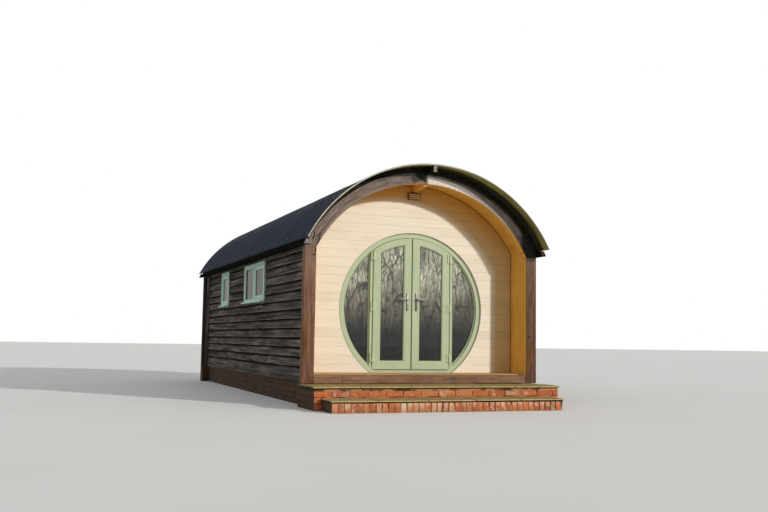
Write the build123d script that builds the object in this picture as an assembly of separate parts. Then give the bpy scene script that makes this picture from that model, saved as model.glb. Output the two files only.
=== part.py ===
from build123d import *
import os
from math import hypot, sqrt

# Sizes are in millimetres. While the pod is built, X runs along its front,
# Y runs into it from the face of the front frame, and Z is height above the ground.

# Overall sizes of the pod
pod_width = 3200
pod_length = 6900
base_height = 284
floor_top = 400
post_top = 1935

# Timber end frames: posts, sill beams and curved head
post_width = 150
post_bevel = 6
frame_depth = 100
sill_height = 102
sill_gap = 12
arch_centre = 1180
arch_depth = 140
frame_fit = 0.3

# Roof, built up outwards from the inside of the arch
lining_rise = 42
deck_thickness = 57
sheet_depth = 18
sheet_overhang = 270
eaves_beam_rise = 15
eaves_beam_height = 65
eaves_beam_reach = 155
sheet_rise = 95
ridge_beam_width = 50
ridge_beam_height = 45
ridge_beam_setback = 40
ridge_nose_length = 300
ridge_nose_rise = 19
ridge_block_width = 50
ridge_block_height = 86

# Side walls
cladding_inset = 100
cladding_thickness = 22
cladding_foot = 288
wall_thickness = 118
cheek_thickness = 21
batten_width = 45

# End walls
gable_face = 436
gable_thickness = 100

# Round doorset
door_centre_rise = 820
door_radius = 1000
door_ring = 60
door_setback = 20
door_frame_depth = 80
door_stop_width = 15
door_stop_depth = 23
threshold_height = 38
mullion_width = 38
leaf_width = 537
leaf_thickness = 56
leaf_gap = 5
meeting_gap = 6
leaf_proud = 4
meeting_stile = 114
hinge_stile = 110
bottom_rail = 113
head_rail = 95
glass_thickness = 24
glass_edge = 12
glass_fit = 0.4
bead_width = 20
bead_depth = 14

# Door hinges
hinge_foot_rise = 145
hinge_head_drop = 82
hinge_length = 114
knuckle_radius = 8
knuckle_gap = 0.5
pin_radius = 4
pin_length = 42
pin_fit = 0.3
pivot_proud = 14
flag_reach = 34
flag_thickness = 9
flag_gap = 2

# Lever handles
plate_offset = 60
plate_width = 30
plate_height = 230
plate_drop = 32
plate_thickness = 9
plate_corner = 10
lever_rise = 950
lever_reach = 120
lever_height = 18
lever_thickness = 12
lever_proud = 48
lever_bend = 16
lever_hub_radius = 12
lever_hub_length = 14
lever_fit = 0.5

# Side windows
window_head_rise = 10
window_height = 600
window_centres = (3075, 5275)
window_widths = (1310, 590)
window_rail = 55
window_frame_depth = 70
window_proud = 10
two_light_width = 800
window_sill_height = 28
window_sill_reach = 45
sash_rail = 42
sash_thickness = 50
sash_gap = 3
sash_stop = 15

# Brick base, raised platform and step
brick_width = 102.5
plinth_inset = 20
rear_plinth_depth = 215
platform_reach = 25
platform_front = 550
platform_back = 150
slab_thickness = 38
slab_overhang = 20
step_depth = 380
step_height = 150
step_inset_left = 95
step_inset_right = 165

# Slatted light over the door
light_width = 172
light_height = 86
light_depth = 45
light_drop = 18
light_rim = 10
slat_count = 3
slat_height = 12
slat_depth = 20

# Places that follow from the sizes
half_width = pod_width / 2
post_inner = half_width - post_width
arch_inner = hypot(post_inner, post_top - arch_centre)
arch_outer = arch_inner + arch_depth
lining_inner = arch_inner + lining_rise
sheet_inner = arch_outer + deck_thickness
sheet_outer = sheet_inner + sheet_depth
sheet_foot = post_top + sheet_rise
eaves_beam_foot = post_top + eaves_beam_rise
eaves_top = eaves_beam_foot + eaves_beam_height
ridge_top = arch_centre + sqrt(arch_inner**2 - (ridge_beam_width / 2) ** 2)
ridge_foot = ridge_top - ridge_beam_height
ridge_crown = arch_centre + sqrt(lining_inner**2 - (ridge_beam_width / 2) ** 2)
cladding_outer = half_width - cladding_inset
cladding_inner = cladding_outer - cladding_thickness
wall_inner = cladding_inner - wall_thickness
cheek_inner = cladding_inner - cheek_thickness
front_back = frame_depth
rear_frame = pod_length - frame_depth
gable_back = gable_face + gable_thickness
rear_wall_face = rear_frame - gable_thickness
platform_half = half_width + platform_reach
platform_face = -platform_front + slab_overhang
step_edge = platform_face - step_depth - slab_overhang
roof_front = -sheet_overhang
roof_back = pod_length + sheet_overhang
middle = (min(step_edge, roof_front) + roof_back) / 2
beyond = 4 * pod_width
cut_past = wall_thickness

window_head = post_top + window_head_rise
window_foot = window_head - window_height
window_middle = cladding_outer + window_proud - window_frame_depth / 2

door_centre = floor_top + door_centre_rise
door_face = gable_face + door_setback
door_back = door_face + door_frame_depth
door_foot = floor_top
ring_inner = door_radius - door_ring
stop_face = door_back - door_stop_depth
leaf_face = door_face - leaf_proud
leaf_back = leaf_face + leaf_thickness
leaf_foot = door_foot + threshold_height + leaf_gap
leaf_head = ring_inner - leaf_gap
leaf_inner = meeting_gap / 2
leaf_outer = leaf_inner + leaf_width
mullion_inner = leaf_outer + leaf_gap
mullion_outer = mullion_inner + mullion_width
pivot_x = leaf_outer + leaf_gap / 2
pivot_y = leaf_face - pivot_proud
leaf_corner = door_centre + sqrt(leaf_head**2 - leaf_outer**2)
lowest_hinge = leaf_foot + hinge_foot_rise
highest_hinge = leaf_corner - hinge_head_drop
hinge_heights = (lowest_hinge, (lowest_hinge + highest_hinge) / 2, highest_hinge)
handle_x = leaf_inner + plate_offset
lever_centre = floor_top + lever_rise
plate_centre = lever_centre - plate_drop
light_head = ridge_foot - light_drop


def block(x0, x1, y0, y1, z0, z1):
    size = Box(x1 - x0, y1 - y0, z1 - z0, align=(Align.MIN, Align.MIN, Align.MIN))
    return Pos(x0, y0, z0) * size


def face(x0, x1, z0, z1):
    return Pos((x0 + x1) / 2, (z0 + z1) / 2) * Rectangle(x1 - x0, z1 - z0)


def disc(radius, centre):
    return Pos(0, centre) * Circle(radius)


def along_y(outline, y0, y1):
    return Pos(0, y0, 0) * extrude(Plane.XZ * outline, amount=-(y1 - y0))


def mirrored(shape):
    return mirror(shape, about=Plane.YZ)


def both(shape):
    return [shape, mirrored(shape)]


def above(height):
    return face(-beyond, beyond, height, height + beyond)


def right_half():
    """Everything to the right of the centre line."""
    return face(0, beyond, -beyond, beyond)


def roof_band(inner, outer, foot):
    """Curved strip of the roof's section, between two radii and above its foot."""
    ring = disc(outer, arch_centre) - disc(inner, arch_centre)
    return ring & above(foot)


def under_roof(inner, outer, foot):
    """Outline between two distances from the centre line, up to the curved roof deck."""
    upright = face(inner, outer, foot, arch_centre)
    crown = disc(arch_outer - frame_fit, arch_centre) & face(inner, outer, arch_centre, beyond)
    return upright + crown


def opening_outline(inner, outer, foot, radius):
    """A pane of the round doorset: straight sides, flat foot, curved head."""
    return face(inner, outer, foot, beyond) & disc(radius, door_centre)


def save(name, shape):
    solids = shape if isinstance(shape, list) else [shape]
    placed = [Pos(0, -middle, 0) * solid for solid in solids]
    result = placed[0] if len(placed) == 1 else Compound(children=placed)
    export_step(result, "parts/" + name + ".step")


def brick_base():
    side = block(cladding_inner - brick_width, cladding_outer - plinth_inset,
                 platform_back, pod_length - rear_plinth_depth, 0, base_height)
    rear = block(-half_width, half_width, pod_length - rear_plinth_depth, pod_length,
                 0, base_height)
    save("plinth_walls", both(side) + [rear])


def platform():
    slab_foot = base_height - slab_thickness
    save("platform_slab", block(-platform_half, platform_half, -platform_front, platform_back,
                                slab_foot, base_height))
    brick_half = platform_half - slab_overhang
    save("platform_bricks", block(-brick_half, brick_half, platform_face, platform_back,
                                  0, slab_foot))
    left = -platform_half + step_inset_left
    right = platform_half - step_inset_right
    step_slab_foot = step_height - slab_thickness
    save("step_slab", block(left, right, step_edge, platform_face, step_slab_foot, step_height))
    save("step_bricks", block(left + slab_overhang, right - slab_overhang,
                              step_edge + slab_overhang, platform_face, 0, step_slab_foot))


def floor():
    save("floor", block(-cladding_inner, cladding_inner, front_back, rear_frame,
                        base_height, floor_top))


def end_frame(name, front):
    back = front + frame_depth
    post = block(post_inner, half_width, front, back, base_height, post_top)
    post = chamfer(post.edges().filter_by(Axis.Z), post_bevel)
    save(name + "_posts", both(post))
    save(name + "_sill_beam", block(-post_inner, post_inner - sill_gap, front, back,
                                    base_height, base_height + sill_height))
    band = roof_band(arch_inner, arch_outer, post_top) & right_half()
    save(name + "_arch", both(along_y(band, front, back)))


def roof():
    fitted_deck = roof_band(arch_outer + frame_fit, sheet_inner - frame_fit, eaves_beam_foot)
    beam = fitted_deck & face(0, beyond, eaves_beam_foot, eaves_top)
    beam = along_y(beam, -eaves_beam_reach, pod_length + eaves_beam_reach)
    save("eaves_beams", both(beam))
    save("roof_deck", along_y(fitted_deck & above(eaves_top), 0, pod_length))
    sheet = roof_band(sheet_inner, sheet_outer, sheet_foot)
    save("roof_sheet", along_y(sheet, roof_front, roof_back))

    panel = roof_band(lining_inner, arch_outer - frame_fit, post_top)
    over_room = face(-wall_inner, wall_inner, post_top, beyond)
    save("ceiling", along_y(panel & over_room, gable_back, rear_wall_face))

    over_porch = face(-cheek_inner, cheek_inner, post_top, beyond)
    save("porch_soffit", along_y(panel & over_porch, front_back, gable_face))


def ridge_section(top, fit):
    half = ridge_beam_width / 2
    return face(-half - fit, half + fit, ridge_foot - fit, top + fit)


def ridge_nose():
    """What is cut from under the beam's end, along a curve that rises to its tip."""
    tip = ridge_beam_setback
    start = tip + ridge_nose_length
    curve = SagittaArc((start, ridge_foot), (tip, ridge_foot + ridge_nose_rise),
                       -ridge_nose_rise / 5)
    rest = Polyline((tip, ridge_foot + ridge_nose_rise), (tip, ridge_foot - cut_past),
                    (start, ridge_foot - cut_past), (start, ridge_foot))
    profile = Plane.YZ * make_face(curve + rest)
    return Pos(-ridge_beam_width, 0, 0) * extrude(profile, amount=2 * ridge_beam_width)


def ridge():
    beam = along_y(ridge_section(ridge_top, 0), ridge_beam_setback,
                   pod_length - ridge_beam_setback)
    beam += along_y(ridge_section(ridge_crown, 0), front_back, rear_frame)
    nose = ridge_nose()
    beam -= nose
    beam -= mirror(nose, about=Plane.XZ.offset(-pod_length / 2))
    save("ridge_beam", beam)
    top = arch_centre + sheet_inner
    section = face(-ridge_block_width / 2, ridge_block_width / 2, top - ridge_block_height, top)
    section = section & disc(sheet_inner - frame_fit, arch_centre)
    front = along_y(section, roof_front, -frame_fit)
    rear = along_y(section, pod_length + frame_fit, roof_back)
    save("ridge_blocks", [front, rear])


def window_places():
    return list(zip(window_centres, window_widths))


def window_cutter(centre, width):
    return block(wall_inner - cut_past, cladding_outer + cut_past, centre - width / 2,
                 centre + width / 2, window_foot, window_head)


def corner_battens():
    """Strips over the ends of the side boards, against the end frames."""
    outer = cladding_outer + batten_width
    top = eaves_beam_foot - frame_fit
    front = block(cladding_outer, outer, front_back, front_back + batten_width,
                  base_height, top)
    rear = block(cladding_outer, outer, rear_frame - batten_width, rear_frame,
                 base_height, top)
    return [front, rear]


def side_walls():
    cladding = along_y(under_roof(cladding_inner, cladding_outer, cladding_foot),
                       front_back, rear_frame)
    wall = along_y(under_roof(wall_inner, cladding_inner, floor_top),
                   gable_back, rear_wall_face)
    for centre, width in window_places():
        cutter = window_cutter(centre, width)
        cladding -= cutter
        wall -= cutter
    boards = [cladding] + corner_battens()
    save("cladding_right", boards)
    save("cladding_left", [mirrored(piece) for piece in boards])
    save("wall_right", wall)
    save("wall_left", mirrored(wall))
    cheek = along_y(under_roof(cheek_inner, cladding_inner, floor_top), front_back, gable_face)
    save("porch_cheeks", both(cheek))


def end_walls():
    outline = under_roof(-cladding_inner, cladding_inner, floor_top)
    outline -= ridge_section(ridge_crown, frame_fit)
    hole = disc(door_radius + frame_fit, door_centre) & above(floor_top)
    gable = along_y((outline - hole) & right_half(), gable_face, gable_back)
    save("front_gable", both(gable))
    save("rear_wall", along_y(outline, rear_wall_face, rear_frame))


def doorset_frame():
    foot = above(door_foot)
    ring = (disc(door_radius, door_centre) - disc(ring_inner, door_centre)) & foot
    stop = (disc(ring_inner, door_centre) - disc(ring_inner - door_stop_width, door_centre)) & foot
    bar_top = door_foot + threshold_height
    bar = disc(ring_inner, door_centre) & face(-beyond, beyond, door_foot, bar_top)
    bar_stop = disc(ring_inner, door_centre) & face(-beyond, beyond, bar_top,
                                                    bar_top + door_stop_width)
    frame = along_y(ring + bar, door_face, door_back) + along_y(stop + bar_stop, stop_face, door_back)
    save("door_frame", frame)

    post = block(mullion_inner, mullion_outer, door_face, door_back, door_foot, beyond)
    post += block(mullion_inner - door_stop_width, mullion_outer, stop_face, door_back,
                  door_foot, beyond)
    post = post & along_y(disc(ring_inner + frame_fit, door_centre), door_face, door_back)
    post -= frame
    save("door_mullions", both(post))


def sidelights():
    glass_front = stop_face - glass_thickness
    pane = opening_outline(mullion_outer + glass_fit, beyond, door_foot + threshold_height + glass_fit,
                           ring_inner - glass_fit)
    glass = along_y(pane, glass_front, stop_face)
    save("sidelight_glass", both(glass))
    hole = opening_outline(mullion_outer + bead_width, beyond,
                           door_foot + threshold_height + bead_width, ring_inner - bead_width)
    bead = along_y(pane - hole, glass_front - bead_depth, glass_front)
    save("sidelight_beads", both(bead))


def leading_bevel():
    """Set-back of a leaf's meeting edge at its back, so that it swings clear."""
    reach = hypot(pivot_x - leaf_inner, leaf_face - pivot_y)
    return pivot_x - leaf_inner - sqrt(reach**2 - (leaf_back - pivot_y) ** 2)


def door_leaves():
    outline = opening_outline(leaf_inner, leaf_outer, leaf_foot, leaf_head)
    light = opening_outline(leaf_inner + meeting_stile, leaf_outer - hinge_stile,
                            leaf_foot + bottom_rail, leaf_head - head_rail)
    pocket = opening_outline(leaf_inner + meeting_stile - glass_edge,
                             leaf_outer - hinge_stile + glass_edge,
                             leaf_foot + bottom_rail - glass_edge,
                             leaf_head - head_rail + glass_edge)
    glass_front = leaf_face + (leaf_thickness - glass_thickness) / 2
    glass_back = glass_front + glass_thickness
    leaf = along_y(outline - light, leaf_face, leaf_back)
    leaf -= along_y(pocket, glass_front - glass_fit, glass_back + glass_fit)
    wedge = Polyline((0, leaf_face), (leaf_inner, leaf_face),
                     (leaf_inner + leading_bevel(), leaf_back), (0, leaf_back), close=True)
    leaf -= extrude(make_face(wedge), amount=beyond)
    save("door_leaf_right", leaf)
    save("door_leaf_left", mirrored(leaf))

    pane = opening_outline(leaf_inner + meeting_stile - glass_edge + glass_fit,
                           leaf_outer - hinge_stile + glass_edge - glass_fit,
                           leaf_foot + bottom_rail - glass_edge + glass_fit,
                           leaf_head - head_rail + glass_edge - glass_fit)
    glass = along_y(pane, glass_front, glass_back)
    save("door_glass_right", glass)
    save("door_glass_left", mirrored(glass))


def knuckle(radius, z0, z1):
    barrel = Cylinder(radius, z1 - z0, align=(Align.CENTER, Align.CENTER, Align.MIN))
    return Pos(pivot_x, pivot_y, z0) * barrel


def frame_hinge(z):
    """Lower knuckle with the pin, and flag plate, fixed to the mullion."""
    low = z - hinge_length / 2
    high = z + hinge_length / 2
    knuckle_top = z - knuckle_gap / 2
    flag_foot = pivot_x + knuckle_radius + flag_gap
    hinge = knuckle(knuckle_radius, low, knuckle_top) + knuckle(pin_radius, low, z + pin_length)
    hinge += block(pivot_x + leaf_gap / 2, flag_foot, pivot_y, door_face, low, knuckle_top)
    return hinge + block(flag_foot, pivot_x + flag_reach, door_face - flag_thickness, door_face,
                         low, high)


def leaf_hinge(z):
    """Upper knuckle that turns on the pin, and flag plate, fixed to the leaf."""
    low = z - hinge_length / 2
    high = z + hinge_length / 2
    knuckle_foot = z + knuckle_gap / 2
    flag_foot = pivot_x - knuckle_radius - flag_gap
    hinge = knuckle(knuckle_radius, knuckle_foot, high)
    hinge += block(flag_foot, pivot_x - leaf_gap / 2, pivot_y, leaf_face, knuckle_foot, high)
    hinge += block(pivot_x - flag_reach, flag_foot, leaf_face - flag_thickness, leaf_face,
                   low, high)
    return hinge - knuckle(pin_radius + pin_fit, knuckle_foot, z + pin_length + knuckle_gap)


def hinges():
    right = [frame_hinge(z) for z in hinge_heights]
    save("frame_hinges", right + [mirrored(hinge) for hinge in right])
    moving = [leaf_hinge(z) for z in hinge_heights]
    save("leaf_hinges_right", moving)
    save("leaf_hinges_left", [mirrored(hinge) for hinge in moving])


def back_plate(surface, outward):
    y0 = min(surface, surface + outward * plate_thickness)
    plate = block(handle_x - plate_width / 2, handle_x + plate_width / 2, y0,
                  y0 + plate_thickness, plate_centre - plate_height / 2,
                  plate_centre + plate_height / 2)
    return fillet(plate.edges().filter_by(Axis.Y), plate_corner)


def lever(surface, outward):
    """A flat bar that leaves its plate and bends away from the meeting edge."""
    seat = surface + outward * (plate_thickness + lever_fit)
    bar_back = surface + outward * (lever_proud - lever_thickness)
    bar_front = surface + outward * lever_proud
    neck = lever_thickness / 2
    outline = Polyline((handle_x - neck, seat), (handle_x + neck, seat),
                       (handle_x + neck, bar_back), (handle_x + lever_reach, bar_back),
                       (handle_x + lever_reach, bar_front), (handle_x - neck, bar_front),
                       close=True)
    profile = make_face(outline)
    corner = profile.vertices().sort_by_distance((handle_x - neck, bar_front, 0))[0]
    profile = fillet(corner, lever_bend)
    bar = extrude(Pos(0, 0, lever_centre - lever_height / 2) * profile, amount=lever_height)
    rose = Plane(origin=(handle_x, seat, lever_centre), z_dir=(0, outward, 0))
    return bar + extrude(rose * Circle(lever_hub_radius), amount=lever_hub_length)


def handles():
    """Back plates stay on the leaf; the two levers turn together on one spindle."""
    faces = ((leaf_face, -1), (leaf_back, 1))
    plates = [back_plate(surface, outward) for surface, outward in faces]
    levers = [lever(surface, outward) for surface, outward in faces]
    save("handle_plates_right", plates)
    save("handle_plates_left", [mirrored(plate) for plate in plates])
    save("door_lever_right", levers)
    save("door_lever_left", [mirrored(bar) for bar in levers])


def window_lights(centre, width):
    """The openings in a frame along the wall: one, or two with a post between them."""
    low = centre - width / 2 + window_rail
    high = centre + width / 2 - window_rail
    if width < two_light_width:
        return [(low, high)]
    return [(low, centre - window_rail / 2), (centre + window_rail / 2, high)]


def light_block(x0, x1, low, high, inset):
    """A block as wide and high as one light of a window, less an inset all round."""
    return block(x0, x1, low + inset, high - inset,
                 window_foot + window_rail + inset, window_head - window_rail - inset)


def window_frame(centre, width):
    """Fixed frame with a projecting sill, and a stop behind the casement's sash."""
    y0 = centre - width / 2 + frame_fit
    y1 = centre + width / 2 - frame_fit
    outer = cladding_outer + window_proud
    inner = outer - window_frame_depth
    sash_back = window_middle - sash_thickness / 2
    frame = block(inner, outer, y0, y1, window_foot + frame_fit, window_head - frame_fit)
    casement, *fixed = window_lights(centre, width)
    frame -= light_block(sash_back, outer + cut_past, *casement, 0)
    frame -= light_block(inner - cut_past, sash_back, *casement, sash_stop)
    for light in fixed:
        frame -= light_block(inner - cut_past, outer + cut_past, *light, 0)
    sill = block(outer, outer + window_sill_reach, y0, y1,
                 window_foot + frame_fit, window_foot + frame_fit + window_sill_height)
    return frame + sill


def sash(low, high):
    half = sash_thickness / 2
    rails = light_block(window_middle - half, window_middle + half, low, high, sash_gap)
    return rails - light_block(window_middle - cut_past, window_middle + cut_past,
                               low, high, sash_gap + sash_rail)


def pane(low, high, inset):
    half = glass_thickness / 2
    return light_block(window_middle - half, window_middle + half, low, high, inset + glass_fit)


def side_windows():
    frames = []
    panes = []
    for centre, width in window_places():
        casement, *fixed = window_lights(centre, width)
        frames += [window_frame(centre, width), sash(*casement)]
        panes.append(pane(*casement, sash_gap + sash_rail))
        panes += [pane(*light, 0) for light in fixed]
    save("window_frames_right", frames)
    save("window_frames_left", [mirrored(frame) for frame in frames])
    save("window_glass_right", panes)
    save("window_glass_left", [mirrored(glass) for glass in panes])


def porch_light():
    foot = light_head - light_height
    half = light_width / 2
    front = gable_face - light_depth
    body = block(-half, half, front, gable_face, foot, foot + light_height)
    pitch = (light_height - 2 * light_rim) / slat_count
    for row in range(slat_count):
        low = foot + light_rim + row * pitch + (pitch - slat_height) / 2
        body -= block(light_rim - half, half - light_rim, front, front + slat_depth,
                      low, low + slat_height)
    save("porch_light", body)


os.makedirs("parts", exist_ok=True)
brick_base()
platform()
floor()
end_frame("front", 0)
end_frame("rear", rear_frame)
roof()
ridge()
side_walls()
end_walls()
doorset_frame()
sidelights()
door_leaves()
hinges()
handles()
side_windows()
porch_light()
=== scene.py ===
import math
import random
from functools import cached_property, reduce

import bmesh
import bpy
import numpy as np
from mathutils import Matrix, Vector, noise


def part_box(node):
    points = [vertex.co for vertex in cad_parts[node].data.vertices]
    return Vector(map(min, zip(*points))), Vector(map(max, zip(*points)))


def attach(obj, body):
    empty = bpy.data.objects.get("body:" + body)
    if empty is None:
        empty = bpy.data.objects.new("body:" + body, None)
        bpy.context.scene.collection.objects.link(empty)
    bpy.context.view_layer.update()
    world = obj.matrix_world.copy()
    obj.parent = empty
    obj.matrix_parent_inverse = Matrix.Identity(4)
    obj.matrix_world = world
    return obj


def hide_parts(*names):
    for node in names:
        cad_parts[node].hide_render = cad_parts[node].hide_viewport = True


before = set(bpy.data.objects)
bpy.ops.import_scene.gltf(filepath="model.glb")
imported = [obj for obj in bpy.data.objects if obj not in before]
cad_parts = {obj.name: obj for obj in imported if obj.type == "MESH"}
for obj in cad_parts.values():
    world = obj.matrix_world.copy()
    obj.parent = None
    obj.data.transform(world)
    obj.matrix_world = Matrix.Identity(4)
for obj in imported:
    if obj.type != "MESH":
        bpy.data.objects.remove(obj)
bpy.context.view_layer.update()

# Looks of the arched glamping pod. Sizes are in metres, in the frame of the solids:
# X runs along the front, Y into the pod, Z is height above the ground.

draw = random.Random(11)


def low(node):
    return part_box(node)[0]


def high(node):
    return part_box(node)[1]


# Places read from the solids
FRONT = low("front_posts").y
FRAME_BACK = high("front_posts").y
REAR = high("rear_posts").y
REAR_FRAME = low("rear_posts").y
GABLE = low("front_gable").y
GABLE_BACK = high("front_gable").y
REAR_WALL = low("rear_wall").y
BASE_TOP = low("front_posts").z
FLOOR_TOP = high("floor").z
POST_TOP = high("front_posts").z
POST_OUTER = high("front_posts").x
POST_INNER = -low("front_sill_beam").x
WALL_OUTER = high("floor").x
BOARDS_FOOT = low("cladding_left").z
EAVES_FOOT = low("eaves_beams").z
EAVES_TOP = high("eaves_beams").z
SHEET_FRONT = low("roof_sheet").y
SHEET_REAR = high("roof_sheet").y
SHEET_FOOT = low("roof_sheet").z

# The arch is part of a circle about a line along the pod
ARCH_CENTRE = 1.180
ARCH_INNER = math.hypot(POST_INNER, POST_TOP - ARCH_CENTRE)
ARCH_OUTER = high("front_arch").z - ARCH_CENTRE
SHEET_OUTER = high("roof_sheet").z - ARCH_CENTRE
SHEET_DEPTH = 0.018
DECK_OUTER = SHEET_OUTER - SHEET_DEPTH
LINING_THICKNESS = 0.0977
SOFFIT_INNER = high("ceiling").z - ARCH_CENTRE - LINING_THICKNESS

STEP_FACE = low("step_bricks").y

# Round doorset
DOOR_RADIUS = high("door_frame").x
DOOR_CENTRE = high("door_frame").z - DOOR_RADIUS
DOOR_FACE = low("door_frame").y
DOOR_BACK = high("door_frame").y
RING_WIDTH = 0.060
RING_INNER = DOOR_RADIUS - RING_WIDTH
STOP_WIDTH = 0.015
STOP_DEPTH = 0.023
THRESHOLD_TOP = FLOOR_TOP + 0.038
LEAF_FACE = low("door_leaf_right").y
LEAF_BACK = high("door_leaf_right").y
LEAF_OUTER = high("door_leaf_right").x
LEAF_INNER = low("door_leaf_right").x
LEAF_FOOT = low("door_leaf_right").z
LEAF_GAP = 0.005
GLASS_INNER = low("door_glass_right").x
GLASS_OUTER = high("door_glass_right").x
GLASS_FRONT = low("door_glass_right").y
GLASS_BACK = high("door_glass_right").y
GLASS_EDGE = 0.0116
MULLION_INNER = LEAF_OUTER + LEAF_GAP
MULLION_OUTER = high("door_mullions").x

# Side windows, along the wall from the front frame's face
WINDOW_CENTRES = (FRONT + 3.075, FRONT + 5.275)
WINDOW_WIDTHS = (1.310, 0.590)
WINDOW_FOOT = low("window_frames_left").z - 0.0003
WINDOW_HEAD = high("window_frames_left").z + 0.0003
WINDOW_RAIL = 0.055
WINDOW_OUTER = 1.510
WINDOW_INNER = WINDOW_OUTER - 0.070
SASH_GAP = 0.003
SASH_RAIL = 0.042
SASH_FRONT = 1.500
SASH_BACK = 1.450
TWO_LIGHT_WIDTH = 0.8


def shown(name, data):
    """A new object of the scene, with its mesh, lamp or camera."""
    made = bpy.data.objects.new(name, data)
    bpy.context.scene.collection.objects.link(made)
    return made


class Piece:
    """One mesh in the making: its points and faces, and at each point the place along the
    grain, the tone of the board or brick that it belongs to, and the share of its rise."""

    def __init__(self):
        self.points = []
        self.faces = []
        self.grain = []
        self.tone = []
        self.rise = []
        self.count = 0

    def add(self, points, faces, grain=None, tone=None, rise=None):
        points = np.asarray(points, float).reshape(-1, 3)
        grain = points if grain is None else np.asarray(grain, float).reshape(-1, 3)
        shift = [draw.uniform(0, 40) for _ in range(3)]
        tone = draw.random() if tone is None else tone
        self.points.append(points)
        self.grain.append(grain + shift)
        self.tone.append(np.full(len(points), tone))
        self.rise.append(np.full(len(points), 0.5) if rise is None else np.asarray(rise))
        self.faces += [tuple(i + self.count for i in f) for f in faces]
        self.count += len(points)

    def mirror(self):
        """Adds the same parts on the other side of the pod."""
        for points, grain, tone in list(zip(self.points, self.grain, self.tone)):
            self.points.append(points * (-1, 1, 1))
            self.grain.append(grain + draw.uniform(5, 9))
            self.tone.append(1 - tone)
        self.rise += self.rise
        self.faces += [tuple(i + self.count for i in f) for f in self.faces]
        self.count *= 2

    def flip(self):
        """Moves the parts to the other side of the pod."""
        self.points = [points * (-1, 1, 1) for points in self.points]

    def finish(self, name, material, slot, body="pod", replaces=(), sharp=30, inner=None):
        mesh = bpy.data.meshes.new(name)
        mesh.from_pydata(np.concatenate(self.points).tolist(), [], self.faces)
        for layer, kind, value, parts in (("grain", "FLOAT_VECTOR", "vector", self.grain),
                                          ("tone", "FLOAT", "value", self.tone),
                                          ("rise", "FLOAT", "value", self.rise)):
            made = mesh.attributes.new(layer, kind, "POINT")
            made.data.foreach_set(value, np.concatenate(parts).ravel())
        work = bmesh.new()
        work.from_mesh(mesh)
        bmesh.ops.dissolve_degenerate(work, dist=1e-6, edges=work.edges)
        bmesh.ops.recalc_face_normals(work, faces=work.faces)
        work.to_mesh(mesh)
        work.free()
        mesh.polygons.foreach_set("use_smooth", [True] * len(mesh.polygons))
        mesh.set_sharp_from_angle(angle=math.radians(sharp))
        mesh.materials.append(material)
        if inner:
            mesh.materials.append(inner)
            for face in mesh.polygons:
                face.material_index = faces_inwards(face.center, face.normal)
        made = shown(name, mesh)
        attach(made, body)
        if replaces:
            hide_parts(*replaces)
        return made


def faces_inwards(centre, normal):
    """Whether a face of an end frame looks into the porch's opening."""
    inside = Vector((-centre.x, 0, ARCH_CENTRE - centre.z if centre.z > POST_TOP else 0))
    return normal.dot(inside.normalized()) > 0.8


# Mesh helpers

def turned(points, along):
    """Coordinates with the grain's direction first."""
    return np.roll(np.asarray(points, float).reshape(-1, 3), -along, axis=1)


def bar_layout():
    """Corners and faces of a block with chamfered edges, for sizes of 0 to 1."""
    keys = []
    for axis in range(3):
        for corner in np.ndindex(2, 2, 2):
            keys.append((axis, corner))
    index = {key: i for i, key in enumerate(keys)}
    faces = []
    for axis in range(3):
        b, c = (axis + 1) % 3, (axis + 2) % 3
        for side in (0, 1):
            ring = []
            for sb, sc in ((0, 0), (1, 0), (1, 1), (0, 1)):
                corner = [0, 0, 0]
                corner[axis], corner[b], corner[c] = side, sb, sc
                ring.append(index[axis, tuple(corner)])
            faces.append(ring)
        for sb, sc in ((0, 0), (1, 0), (1, 1), (0, 1)):
            ends = []
            for side in (0, 1):
                corner = [0, 0, 0]
                corner[axis], corner[b], corner[c] = side, sb, sc
                ends.append(tuple(corner))
            faces.append([index[b, ends[0]], index[b, ends[1]],
                          index[c, ends[1]], index[c, ends[0]]])
    for corner in np.ndindex(2, 2, 2):
        faces.append([index[axis, corner] for axis in range(3)])
    return keys, faces


BAR_KEYS, BAR_FACES = bar_layout()


def bar(piece, corner_low, corner_high, along=0, bevel=0.002, tone=None):
    """A block with chamfered edges, with its grain along one axis."""
    corners = (np.array(corner_low, float), np.array(corner_high, float))
    points = []
    for axis, corner in BAR_KEYS:
        point = [corners[corner[k]][k] for k in range(3)]
        for k in range(3):
            if k != axis:
                point[k] += bevel if corner[k] == 0 else -bevel
        points.append(point)
    piece.add(points, BAR_FACES, turned(points, along), tone)


def inset(loop, distance):
    """A closed outline moved inwards by a distance."""
    loop = np.asarray(loop, float)
    ahead = np.roll(loop, -1, axis=0)
    if np.sum(loop[:, 0] * ahead[:, 1] - ahead[:, 0] * loop[:, 1]) < 0:
        distance = -distance
    edge = ahead - loop
    edge /= np.maximum(np.linalg.norm(edge, axis=1, keepdims=True), 1e-9)
    normal = np.stack([-edge[:, 1], edge[:, 0]], axis=1)
    other = np.roll(normal, 1, axis=0)
    meet = 1 + np.sum(normal * other, axis=1, keepdims=True)
    return loop + (normal + other) * distance / np.maximum(meet, 0.4)


def place(loop, plane, depth):
    """Puts a flat outline in the plane xz, yz or xy, at a depth along the third axis."""
    loop = np.asarray(loop, float)
    deep = np.full(len(loop), depth)
    order = {"xz": (loop[:, 0], deep, loop[:, 1]), "yz": (deep, loop[:, 0], loop[:, 1]),
             "xy": (loop[:, 0], loop[:, 1], deep)}
    return np.stack(order[plane], axis=1)


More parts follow.
